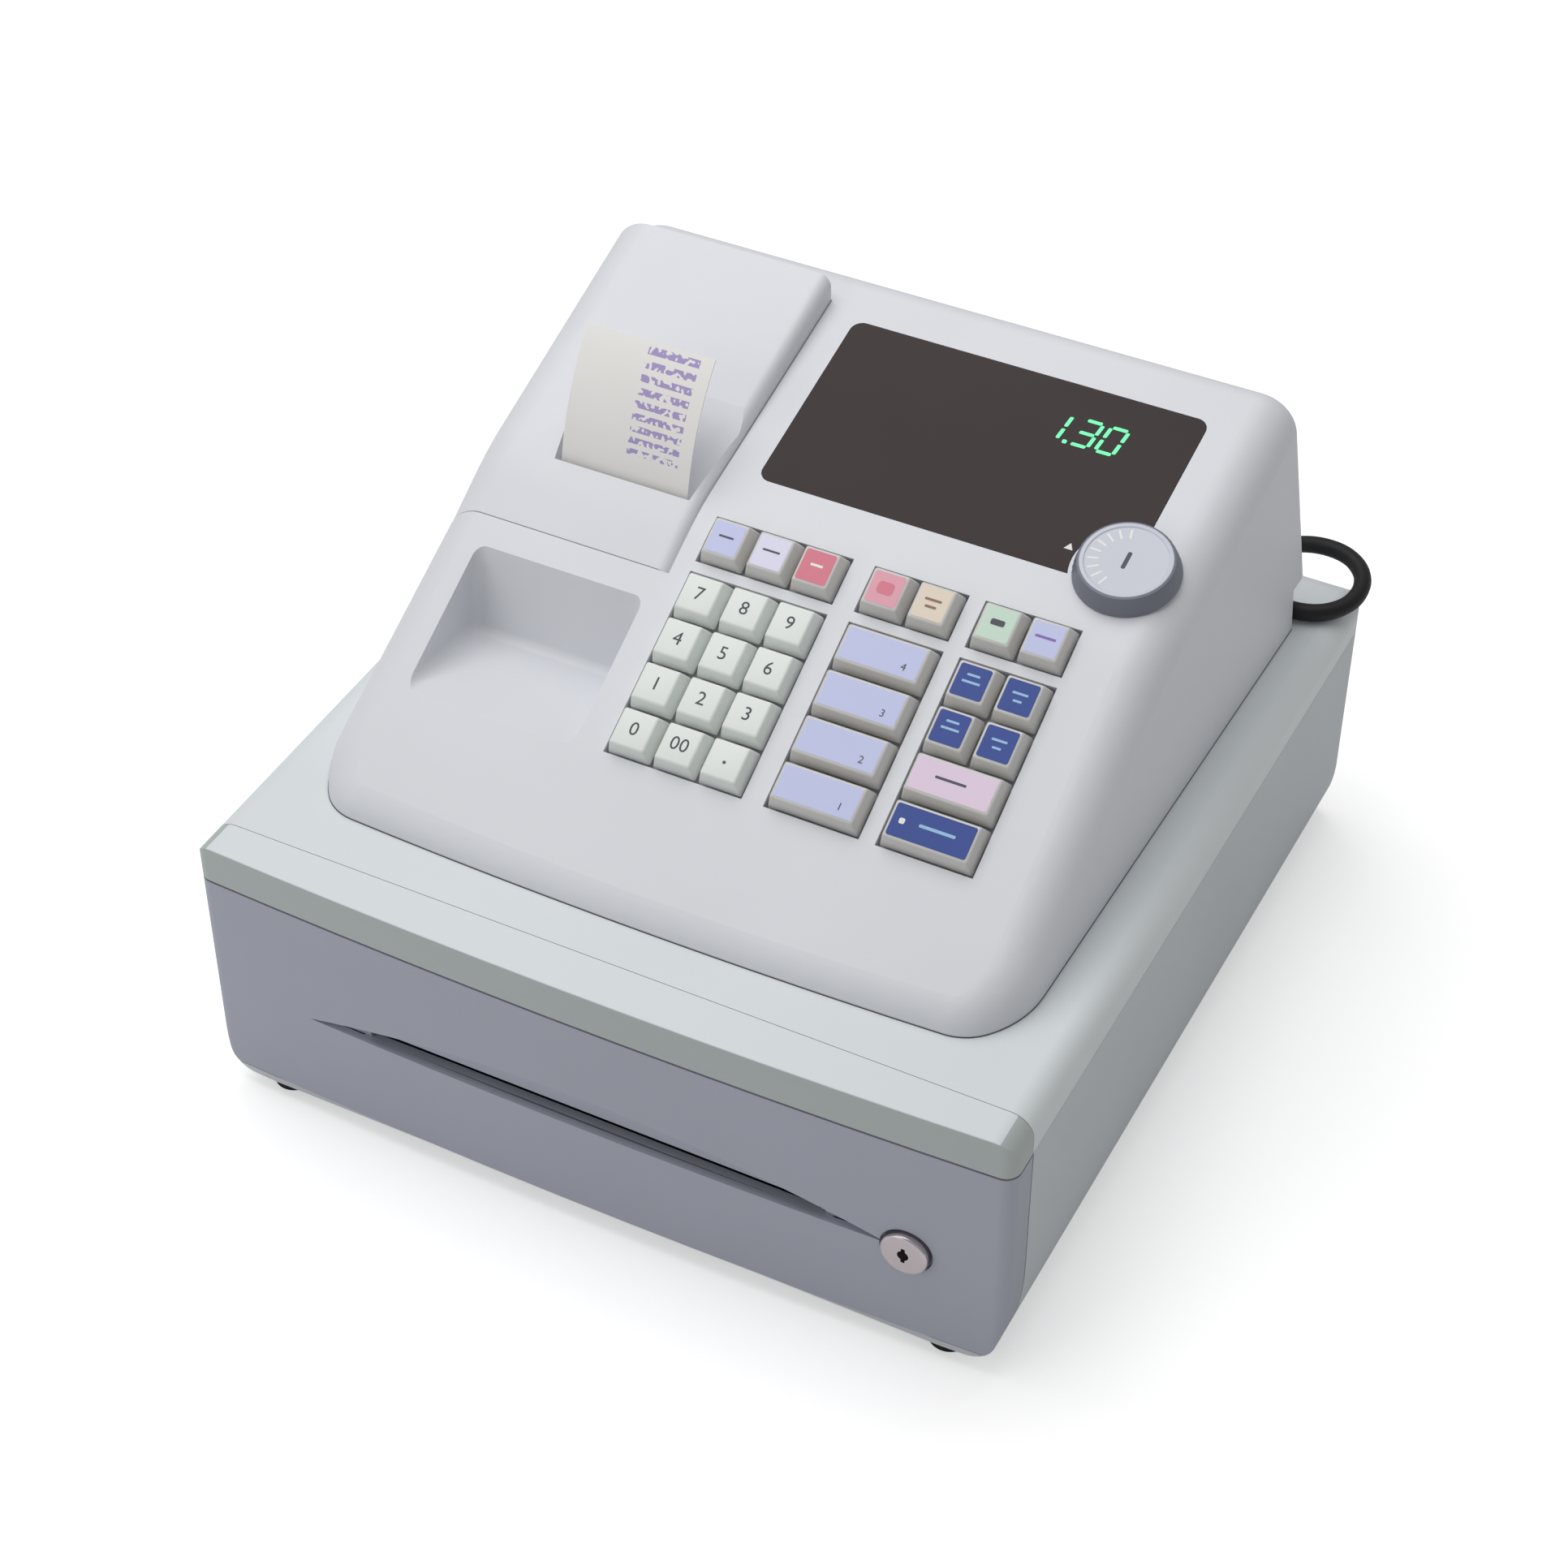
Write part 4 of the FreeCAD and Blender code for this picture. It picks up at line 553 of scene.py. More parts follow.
def block(width: float, depth: float, height: float, middle: float) -> bmesh.types.BMesh:
    """A plain block, centred across.

    Args:
        width: Length along X.
        depth: Length along Y.
        height: Length along Z.
        middle: Height of its middle.

    Returns:
        The block.
    """
    form = bmesh.new()
    bmesh.ops.create_cube(form, size=1.0)
    size = Matrix.Diagonal((width, depth, height, 1.0))
    bmesh.ops.transform(form, matrix=size, verts=form.verts)
    bmesh.ops.translate(form, vec=(0, 0, middle), verts=form.verts)
    return form


def rounded_slab(width: float, depth: float, height: float, corner: float) -> bmesh.types.BMesh:
    """A flat slab with rounded upright corners, resting on z = 0.

    Args:
        width: Length along X.
        depth: Length along Y.
        height: Thickness.
        corner: Radius of the corners.

    Returns:
        The slab.
    """
    form = block(width, depth, height, height / 2)
    upright = [e for e in form.edges if abs(e.verts[0].co.z - e.verts[1].co.z) > height / 2]
    bmesh.ops.bevel(form, geom=upright, offset=corner, segments=5, affect="EDGES", profile=0.5,
                    material=-1)
    return form


def lettering(text: str, height: float, depth: float) -> bmesh.types.BMesh:
    """Figures as a thin mesh centred on the origin.

    Args:
        text: The figures.
        height: Size of the type.
        depth: Thickness of the print.

    Returns:
        The figures' form.
    """
    curve = bpy.data.curves.new("figures", "FONT")
    curve.body = text
    curve.size = height
    curve.extrude = depth / 2
    curve.resolution_u = 3
    curve.align_x = "CENTER"
    curve.align_y = "CENTER"
    holder = linked("figures", curve)
    bpy.context.view_layer.update()
    seen = holder.evaluated_get(bpy.context.evaluated_depsgraph_get())
    mesh = bpy.data.meshes.new_from_object(seen)
    form = bmesh.new()
    form.from_mesh(mesh)
    bpy.data.objects.remove(holder)
    bpy.data.curves.remove(curve)
    bpy.data.meshes.remove(mesh)
    return form


@dataclass
class Slope:
    """A sloped plane of the head, with places given across it and up it."""

    foot: Vector
    angle: float

    @property
    def along(self) -> Vector:
        """Direction up the slope."""
        return Vector((0, math.cos(self.angle), math.sin(self.angle)))

    @property
    def out(self) -> Vector:
        """Direction square out of the slope."""
        return Vector((0, -math.sin(self.angle), math.cos(self.angle)))

    def place(self, across: float, up: float, out: float = 0.0) -> Matrix:
        """Places a form on the slope.

        Args:
            across: Distance along X.
            up: Distance up the slope from its foot.
            out: Distance out of it.

        Returns:
            The matrix that moves a form from the origin to there.
        """
        point = Vector((across, 0, 0)) + self.foot + self.along * up + self.out * out
        return Matrix.Translation(point) @ Matrix.Rotation(self.angle, 4, "X")


KEY_SLOPE = Slope(Vector((0, -118.0 * MM, 134.3 * MM)), math.radians(28.0))
DISPLAY_ANGLE = math.radians(14.5)
RIDGE_BACK, RIDGE_HEIGHT = 130.0 * MM, 231.6 * MM
"""Where the display's plane ends at the top of the head."""

DISPLAY_SLOPE = Slope(
    Vector((0, 0, RIDGE_HEIGHT - RIDGE_BACK * math.tan(DISPLAY_ANGLE))), DISPLAY_ANGLE)


@dataclass
class KeyLook:
    """What one key wears on top."""

    cap: str
    label: Optional[str] = None
    text: str = ""
    text_finish: str = "key_digit"
    text_height: float = 7.5 * MM
    text_shift: tuple[float, float] = (0.0, 0.0)
    strokes: list[Stroke] = field(default_factory=list)


@dataclass
class KeyField:
    """Twenty-nine keys: tapered caps with softened edges, printed or labelled."""

    palette: Palette
    proud: float = 5.6 * MM
    sunk: float = 1.5 * MM
    taper: float = 1.7 * MM
    depth: float = 17.8 * MM
    stem: float = 8.0 * MM
    stem_foot: float = 10.6 * MM
    stem_corner: float = 0.5 * MM
    softness: float = 0.9 * MM
    border: float = 0.9 * MM
    label_corner: float = 0.9 * MM
    label_thick: float = 0.1 * MM
    ink: float = 0.06 * MM
    ink_corner: float = 0.3

    DIGITS = ("7", "8", "9", "4", "5", "6", "1", "2", "3", "0", "00")
    FUNCTIONS = (
        ("label_lavender", [(0.0, 0.6, 6.0, 0.8, "mark_dark")]),
        ("label_pale", [(0.0, 0.6, 7.0, 0.8, "mark_dark")]),
        ("label_red", [(0.0, 0.6, 5.0, 1.0, "mark_white")]),
        ("label_rose", [(0.0, 0.2, 6.4, 5.0, "label_red")]),
        ("label_cream", [(0.0, 1.4, 6.6, 1.0, "mark_brown"), (0.0, -1.4, 4.4, 1.0, "mark_brown")]),
        ("label_green", [(0.0, 0.6, 5.4, 2.4, "mark_dark")]),
        ("label_lavender", [(0.0, 0.6, 8.0, 1.0, "mark_purple")]),
    )
    PAYMENTS = (
        [(0.0, 2.6, 5.0, 0.9, "mark_sky"), (0.0, -0.2, 7.0, 0.9, "mark_sky")],
        [(0.0, 1.4, 6.0, 0.9, "mark_sky"), (0.0, -1.6, 3.4, 0.9, "mark_sky")],
    )
    SUBTOTAL = [(-1.0, 0.4, 12.0, 1.0, "mark_dark")]
    TOTAL = [(2.0, 0.4, 14.0, 1.2, "mark_sky"), (-11.5, 0.0, 2.2, 2.2, "mark_white")]

    def looks(self) -> dict[str, KeyLook]:
        """The dress of every key.

        Returns:
            Each key's look, by node name.
        """
        looks = {f"key_{digit}": KeyLook("key_white", text=digit) for digit in self.DIGITS}
        looks["key_point"] = KeyLook(
            "key_white", text=".", text_height=11 * MM, text_shift=(0.0, 2.0 * MM))
        for number in (1, 2, 3, 4):
            looks[f"key_section_{number}"] = KeyLook(
                "key_clear", "label_lavender", str(number), "mark_dark", 4.2 * MM,
                (9.5 * MM, -2.6 * MM))
        for number in (1, 2, 3, 4):
            looks[f"key_payment_{number}"] = KeyLook(
                "key_clear", "label_blue", strokes=self.PAYMENTS[(number - 1) % 2])
        looks["key_subtotal"] = KeyLook("key_clear", "label_pink", strokes=self.SUBTOTAL)
        looks["key_total"] = KeyLook("key_clear", "label_blue", strokes=self.TOTAL)
        for number, (label, strokes) in enumerate(self.FUNCTIONS, start=1):
            looks[f"key_function_{number}"] = KeyLook("key_clear", label, strokes=strokes)
        return looks

    def cap_form(self, width: float) -> bmesh.types.BMesh:
        """One cap: a tapered block with softened edges round its top.

        Args:
            width: Width at the base.

        Returns:
            The cap, centred on the slope's surface.
        """
        tall = self.proud + self.sunk
        form = block(width, self.depth, tall, self.proud - tall / 2)
        for vert in form.verts:
            if vert.co.z > 0:
                vert.co.x -= math.copysign(self.taper, vert.co.x)
                vert.co.y -= math.copysign(self.taper, vert.co.y)
        edges = [e for e in form.edges if any(v.co.z > 0 for v in e.verts)]
        bmesh.ops.bevel(form, geom=edges, offset=self.softness, segments=4, affect="EDGES",
                        profile=0.5, material=-1)
        return form

    def dress(self, node: str, look: KeyLook) -> bpy.types.Object:
        """Builds one key over its CAD node.

        Args:
            node: The key's node and body name.
            look: What it wears.

        Returns:
            The finished key.
        """
        low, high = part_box(node)
        width = high.x - low.x
        across = (low.x + high.x) / 2
        slope = KEY_SLOPE
        rise = high.z - slope.foot.z - self.proud * math.cos(slope.angle)
        up = rise / math.sin(slope.angle) - (self.depth / 2 - self.taper)
        piece = Piece(f"{node}_cap", self.palette)
        piece.take(self.cap_form(width), look.cap, slope.place(across, up))
        stem = rounded_slab(
            self.stem, self.stem, self.stem_foot - self.sunk, self.stem_corner)
        piece.take(stem, look.cap, slope.place(across, up, -self.stem_foot))
        top = self.proud
        if look.label:
            rim = 2 * (self.taper + self.border)
            label = rounded_slab(
                width - rim, self.depth - rim, self.label_thick, self.label_corner)
            piece.take(label, look.label, slope.place(across, up, top))
            top += self.label_thick
        if look.text:
            shift_x, shift_y = look.text_shift
            figures = lettering(look.text, look.text_height, self.ink)
            spot = slope.place(across + shift_x, up + shift_y, top + self.ink / 2)
            piece.take(figures, look.text_finish, spot)
        for x, y, wide, tall, finish in look.strokes:
            corner = min(wide, tall) * self.ink_corner * MM
            stroke = rounded_slab(wide * MM, tall * MM, self.ink, corner)
            piece.take(stroke, finish, slope.place(across + x * MM, up + y * MM, top))
        key = piece.done(node)
        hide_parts(node)
        return key

    @staticmethod
    def slot_of(node: str) -> str:
        """The record's slot for a key.

        Args:
            node: The key's node.

        Returns:
            The slot.
        """
        if "subtotal" in node:
            return "key_pink"
        if "payment" in node or "total" in node:
            return "key_blue"
        if "section" in node or "function" in node:
            return "key_clear"
        return "key_white"

    def build(self) -> None:
        """Builds all the keys."""
        looks = self.looks()
        for node, look in looks.items():
            self.dress(node, look)
        LOG.info("keys: %d", len(looks))


class Segment(Enum):
    """A figure's seven bars: place in half widths and half heights, and whether it lies flat."""

    TOP = (0.0, 1.0, True)
    TOP_RIGHT = (1.0, 0.5, False)
    LOW_RIGHT = (1.0, -0.5, False)
    LOW = (0.0, -1.0, True)
    LOW_LEFT = (-1.0, -0.5, False)
    TOP_LEFT = (-1.0, 0.5, False)
    MIDDLE = (0.0, 0.0, True)


@dataclass
class DisplayFace:
    """The lit figures, laid on the face of the smoked window."""

    palette: Palette
    figure_height: float = 12.6 * MM
    figure_width: float = 7.0 * MM
    bar: float = 1.5 * MM
    bar_gap: float = 0.8
    bar_corner: float = 0.35
    thick: float = 0.05 * MM
    pitch: float = 10.2 * MM
    slant: float = 0.12
    right: float = 84.0 * MM
    up: float = 88.0 * MM
    lift: float = 0.05 * MM
    one_shift: float = 2.2 * MM
    point: float = 1.8 * MM
    point_corner: float = 0.6 * MM
    point_steps: float = 1.62

    LIT = {
        "0": set(Segment) - {Segment.MIDDLE},
        "1": {Segment.TOP_RIGHT, Segment.LOW_RIGHT},
        "3": set(Segment) - {Segment.LOW_LEFT, Segment.TOP_LEFT},
    }
    FROM_RIGHT = ("0", "3", "1")

    def bars(self, figure: str) -> bmesh.types.BMesh:
        """One figure built of its lit bars.

        Args:
            figure: The figure.

        Returns:
            The bars, with the figure's middle at the origin.
        """
        half_w, half_h = self.figure_width / 2, self.figure_height / 2
        whole = bmesh.new()
        for segment in Segment:
            if segment not in self.LIT[figure]:
                continue
            x, y, flat = segment.value
            long = (self.figure_width if flat else half_h) - self.bar * self.bar_gap
            wide, tall = (long, self.bar) if flat else (self.bar, long)
            bar = rounded_slab(wide, tall, self.thick, self.bar * self.bar_corner)
            bmesh.ops.translate(bar, vec=(x * half_w, y * half_h, 0), verts=bar.verts)
            merge(whole, bar)
        lean = Matrix.Identity(4)
        lean[0][1] = self.slant
        bmesh.ops.transform(whole, matrix=lean, verts=whole.verts)
        return whole

    def build(self) -> None:
        """Builds the figures and the point."""
        piece = Piece("display_figures", self.palette)
        for index, figure in enumerate(self.FROM_RIGHT):
            across = self.right - index * self.pitch
            if figure == "1":
                across -= self.one_shift
            spot = DISPLAY_SLOPE.place(across, self.up, self.lift)
            piece.take(self.bars(figure), "digit_glow", spot)
        dot = rounded_slab(self.point, self.point, self.thick, self.point_corner)
        spot = DISPLAY_SLOPE.place(self.right - self.point_steps * self.pitch,
                                   self.up - self.figure_height / 2, self.lift)
        piece.take(dot, "digit_glow", spot)
        piece.done("case", smooth=False)
        LOG.info("display figures")


@dataclass
class ModeDial:
    """The turned dial: ribbed skirt, soft rim, tick marks on its face."""

    palette: Palette
    lift: float = 0.3 * MM
    face: float = 7.6 * MM
    ribs: int = 48
    rib_depth: float = 0.35 * MM
    rib_low: float = 1.2 * MM
    rib_high: float = 7.1 * MM
    skirt_from: float = 17.4 * MM
    shaft_radius: float = 4.0 * MM
    shaft_long: float = 14.0 * MM
    ticks: int = 9
    tick_radius: float = 12.2 * MM
    first_tick: float = 105.0
    tick_step: float = 18.0
    arrow: float = 2.0 * MM
    arrow_thick: float = 0.08 * MM
    arrow_spot: tuple[float, float, float] = (89.5 * MM, 36.0 * MM, 0.04 * MM)

    OUTLINE = [
        (0.0, 0.0), (20.0, 0.0), (19.9, 1.6), (18.4, 6.8), (17.9, 7.6), (17.0, 8.0),
        (15.6, 8.0), (15.2, 7.6), (0.0, 7.6),
    ]
    """Radius and height of the profile's corners, in mm."""

    TICK = (4.2 * MM, 0.8 * MM, 0.05 * MM, 0.2 * MM)
    SLOT = (1.6 * MM, 8.0 * MM, 0.06 * MM, 0.7 * MM)

    def body_form(self) -> bmesh.types.BMesh:
        """The turned body, with its skirt's faces tagged.

        Returns:
            The body, standing on z = 0 with its axis upright.
        """
        steps = 2 * self.ribs
        form = bmesh.new()
        verts = [form.verts.new((r * MM, 0, z * MM + self.lift)) for r, z in self.OUTLINE]
        edges = [form.edges.new(pair) for pair in zip(verts, verts[1:])]
        bmesh.ops.spin(form, geom=verts + edges, cent=(0, 0, 0), axis=(0, 0, 1),
                       angle=2 * math.pi, steps=steps, use_merge=True, dvec=(0, 0, 0))
        bmesh.ops.remove_doubles(form, verts=form.verts, dist=0.001 * MM)
        for vert in form.verts:
            if self.rib_low < vert.co.z - self.lift < self.rib_high:
                turn = math.atan2(vert.co.y, vert.co.x)
                cut = self.rib_depth * (round(turn / (2 * math.pi) * steps) % 2)
                vert.co.x -= cut * math.cos(turn)
                vert.co.y -= cut * math.sin(turn)
        bmesh.ops.recalc_face_normals(form, faces=form.faces)
        for face in form.faces:
            middle = face.calc_center_median()
            face.tag = math.hypot(middle.x, middle.y) > self.skirt_from
        return form

    def build(self) -> None:
        """Builds the dial over its node, and the mark that it points at."""
        joint = [j for j in FRAME["joints"] if j["name"] == "dial_turn"][0]
        tilt = Matrix.Rotation(DISPLAY_ANGLE, 4, "X")
        place = Matrix.Translation(Vector(joint["pos_m"])) @ tilt
        top = self.lift + self.face
        piece = Piece("mode_dial_dress", self.palette)
        piece.take(self.body_form(), "dial_grey", place, "dial_skirt")
        shaft = bmesh.new()
        bmesh.ops.create_cone(shaft, cap_ends=True, segments=32, radius1=self.shaft_radius,
                              radius2=self.shaft_radius, depth=self.shaft_long)
        sunk = Matrix.Translation((0, 0, self.lift - self.shaft_long / 2))
        piece.take(shaft, "dial_grey", place @ sunk)
        for index in range(self.ticks):
            turn = math.radians(self.first_tick + index * self.tick_step)
            reach = Matrix.Translation((self.tick_radius, 0, top))
            spot = place @ Matrix.Rotation(turn, 4, "Z") @ reach
            piece.take(rounded_slab(*self.TICK), "mark_white", spot)
        spot = place @ Matrix.Translation((0, 0, top))
        piece.take(rounded_slab(*self.SLOT), "mark_dark", spot)
        dial = piece.done("dial")
        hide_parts("mode_dial")
        pointer = Piece("dial_pointer", self.palette)
        arrow = bmesh.new()
        bmesh.ops.create_cone(arrow, cap_ends=True, segments=3, radius1=self.arrow,
                              radius2=self.arrow, depth=self.arrow_thick)
        pointer.take(arrow, "mark_white", DISPLAY_SLOPE.place(*self.arrow_spot))
        pointer.done("case", smooth=False)
        LOG.info("mode dial")


@dataclass
class MainsLead:
    """The black lead: a loop over the rear corner, then a hank behind the unit with its tie."""

    palette: Palette
    diameter: float = 7.0 * MM
    length: float = 2.15
    turns: int = 3
    pitch: float = 7.6 * MM
    radius: float = 45.0 * MM
    straight: float = 40.0 * MM
    tail: float = 22.0 * MM
    drop: float = 4.0 * MM
    drop_run: float = 24.0 * MM
    bends: int = 7
    step_from: float = 0.3
    step_to: float = 0.7
    tie_slack: float = 0.05 * MM
    tie_wide: float = 4.0 * MM
    tie_thick: float = 0.2 * MM

    ROUTE = [
        (106, 138.4, 125.8), (128, 138.4, 125.8), (151.6, 138.5, 124.4), (164.5, 151.4, 124.6),
        (164.5, 169.6, 125.8), (151.6, 182.5, 126.0), (130, 187, 121), (108, 188.5, 104),
        (90, 189.5, 81), (75, 190.5, 57), (59, 193, 34), (38, 195, 14), (12, 195, 3.8),
        (-20, 195, 3.8),
    ]
    """Points from the gland to the hank's first straight, in mm."""

    def half_loop(self, here: Vector, side: int, radius: float) -> list[Vector]:
        """Points round one end of the hank.

        Args:
            here: Where the straight ends.
            side: Which end, -1 left or 1 right.
            radius: Half the step across.

        Returns:
            The points, the last level with the next straight.
        """
        away = 1 if side < 0 else -1
        step = math.pi / self.bends
        reach = radius / math.cos(step / 2)
        points = []
        for k in range(self.bends):
            angle = (k + 0.5) * step
            across = side * reach * math.sin(angle)
            back = away * (radius - reach * math.cos(angle))
            points.append(here + Vector((across, back, 0)))
        points.append(here + Vector((0, away * 2 * radius, 0)))
        return points

    def points(self) -> list[Vector]:
        """The whole route: down to the floor, two flat layers of loops, and to the plug.

        Returns:
            The points, in metres.
        """
        route = [Vector(p) * MM for p in self.ROUTE]
        here = route[-1].copy()
        middle = here.x - self.straight / 2
        radius = self.radius
        for layer in range(2):
            for half in range(2 * self.turns):
                side = -1 if half % 2 == 0 else 1
                target = middle + side * self.straight / 2
                if abs(here.x - target) > 1 * MM:
                    here = Vector((target, here.y, here.z))
                    route.append(here.copy())
                route += self.half_loop(here, side, radius)
                here = route[-1].copy()
                # Inwards on the floor, outwards again on the layer above.
                radius += self.pitch / 2 * (1 if layer else -1)
            if layer == 0:
                run = self.straight
                route.append(here + Vector((-run * self.step_from, 0, 0)))
                route.append(here + Vector((-run * self.step_to, 0, self.pitch)))
                here = Vector((middle - self.straight / 2, here.y, here.z + self.pitch))
                route.append(here.copy())
        here = Vector((middle - self.straight / 2 - self.tail, here.y, here.z))
        run = self.drop_run
        for across, down in ((0, 0), (run * self.step_from, 0), (run * self.step_to, self.drop),
                             (run, self.drop), (run + 2 * self.diameter, self.drop)):
            route.append(here - Vector((across, 0, down)))
        return route

    def build(self) -> None:
        """Builds the lead and its tie."""
        curve = bpy.data.curves.new("mains_lead", "CURVE")
        curve.dimensions = "3D"
        curve.bevel_depth = self.diameter / 2
        curve.bevel_resolution = 5
        curve.resolution_u = 8
        curve.use_fill_caps = True
        points = self.points()
        spline = curve.splines.new("NURBS")
        spline.points.add(len(points) - 1)
        for point, place in zip(spline.points, points):
            point.co = (*place, 1.0)
        spline.order_u = 3
        spline.use_endpoint_u = True
        lead = linked("mains_lead", curve)
        curve.materials.append(self.palette["cord_sheath"])
        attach(lead, "case")
        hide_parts("power_cord", "cord_coil")
        self.tie()
        LOG.info("mains lead")

    def tie(self) -> bpy.types.Object:
        """A flat band round the hank's near side.

        Returns:
            The band.
        """
        start = Vector(self.ROUTE[-1]) * MM
        wide = self.pitch * self.turns + self.diameter + 2 * self.tie_slack
        tall = self.pitch + self.diameter + 2 * self.tie_slack
        form = rounded_slab(tall, wide, self.tie_wide, self.diameter / 2)
        ends = [f for f in form.faces if abs(f.normal.z) > 0.9]
        bmesh.ops.delete(form, geom=ends, context="FACES")
        bmesh.ops.solidify(form, geom=form.faces, thickness=-self.tie_thick)
        bmesh.ops.recalc_face_normals(form, faces=form.faces)
        middle = start + Vector(
            (-self.straight / 2, self.pitch * self.turns / 2, self.pitch / 2))
        turn = Matrix.Rotation(math.radians(90), 4, "Y")
        centred = turn @ Matrix.Translation((0, 0, -self.tie_wide / 2))
        piece = Piece("hank_tie", self.palette)
        piece.take(form, "cord_sheath", Matrix.Translation(middle) @ centred)
        return piece.done("case")


@dataclass
class ShadowLines:
    """Painted shade: a dark thread for the shadow in the gap under the head, and near-black sheets
    for the shade inside the finger slit.
    """

    palette: Palette
    joint_height: float = 0.5 * MM
    joint_proud: float = 0.15 * MM
    level_limit: float = 0.1
    slit_half: float = 94.2 * MM
    slit_low: float = 51.75 * MM
    slit_high: float = 58.25 * MM
    slit_front: float = -165.4 * MM
    slit_back: float = -158.52 * MM
    sheet: float = 0.25 * MM
    sheet_corner: float = 0.05 * MM

    def head_joint(self) -> None:
        """Painted shade: a dark thread round the foot of the head, cut from the head's own
        outline, for the shadow in the gap where the head meets the deck.
        """
        low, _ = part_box("head_case")
        form = bmesh.new()
        form.from_mesh(FRAME["nodes"]["head_case"].data)
        bmesh.ops.remove_doubles(form, verts=form.verts, dist=0.002 * MM)
        everything = form.verts[:] + form.edges[:] + form.faces[:]
        bmesh.ops.bisect_plane(form, geom=everything,
                               plane_co=(0, 0, low.z + self.joint_height),
                               plane_no=(0, 0, 1), clear_outer=True)
        form.normal_update()
        moves = [(vert, Vector((vert.normal.x, vert.normal.y, 0))) for vert in form.verts]
        for vert, away in moves:
            if away.length > self.level_limit:
                vert.co += away.normalized() * self.joint_proud
        piece = Piece("head_joint", self.palette)
        piece.take(form, "head_gap_shade", Matrix.Identity(4))
        piece.done("case")

    def slit_liner(self) -> None:
        """Painted shade: thin near-black sheets over the floor, roof, back and ends of the slit,
        for the shade inside it.
        """
        piece = Piece("slit_liner", self.palette)
        wide = 2 * self.slit_half
        deep = self.slit_back - self.slit_front
        tall = self.slit_high - self.slit_low
        mid_y = (self.slit_back + self.slit_front) / 2
        end = self.slit_half - self.sheet / 2
        sheets = [
            ((wide, deep, self.sheet), (0, mid_y, self.slit_low)),
            ((wide, deep, self.sheet), (0, mid_y, self.slit_high - self.sheet)),
            ((wide, self.sheet, tall), (0, self.slit_back - self.sheet / 2, self.slit_low)),
            ((self.sheet, deep, tall), (-end, mid_y, self.slit_low)),
            ((self.sheet, deep, tall), (end, mid_y, self.slit_low)),
        ]
        for size, spot in sheets:
            sheet = rounded_slab(*size, self.sheet_corner)
            piece.take(sheet, "slit_inside_shade", Matrix.Translation(spot))
        piece.done("drawer", smooth=False)

    def build(self) -> None:
        """Builds both."""
        self.head_joint()
        self.slit_liner()
        LOG.info("shadow lines")


@dataclass
class CarriedNodes:
    """CAD nodes whose shape is right as it is: they only get their finish."""

    palette: Palette
    print_from: float = 0.5
    print_margin: float = 0.1
    print_lowest: float = 24.0 * MM

    DRESS = {
        "side_plastic": ["lower_base"],
        "deck_plastic": ["lower_cover"],
        "trim_plastic": ["front_trim"],
        "foot_rubber": ["rubber_feet"],
        "drawer_plastic": ["drawer_front"],
        "inner_plastic": ["drawer_box", "coin_tray"],
        "spring_steel": ["note_clip_1", "note_clip_2", "note_clip_3", "kick_spring"],
        "lock_nickel": ["drawer_lock"],
        "zinc_plate": ["drawer_latch", "latch_striker", "latch_solenoid", "printer_frame"],
        "head_plastic": ["head_case", "printer_cover"],
        "roll_paper": ["paper_roll"],
        "receipt": ["receipt_paper"],
        "roller_rubber": ["platen_roller", "ink_roller"],
        "core_varnish": ["transformer"],
        "board_green": ["main_board"],
        "smoked_window": ["display_windows"],
        "display_glass": ["display_tubes"],
        "cord_sheath": ["cord_gland", "power_plug", "power_cord", "cord_coil"],
        "dial_grey": ["mode_dial"],
    }
    """The nodes that wear each finish. Those not named are keys, which are built anew."""

    def build(self) -> None:
        """Gives every CAD node its finish."""
        low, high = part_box("receipt_paper")
        span = high.x - low.x
        limits = (low.x + span * self.print_from, high.x - span * self.print_margin,
                  low.z + self.print_lowest)
        self.palette.add(Finish("receipt", tint(242, 240, 237), Surface.PAPER, 0.8,
                                specular=0.2, printed=limits))
        finish_of = {node: finish for finish, nodes in self.DRESS.items() for node in nodes}
        for name, thing in FRAME["nodes"].items():
            thing.data.materials.clear()
            thing.data.materials.append(self.palette[finish_of.get(name, "key_white")])
        LOG.info("carried nodes: %d", len(FRAME["nodes"]))


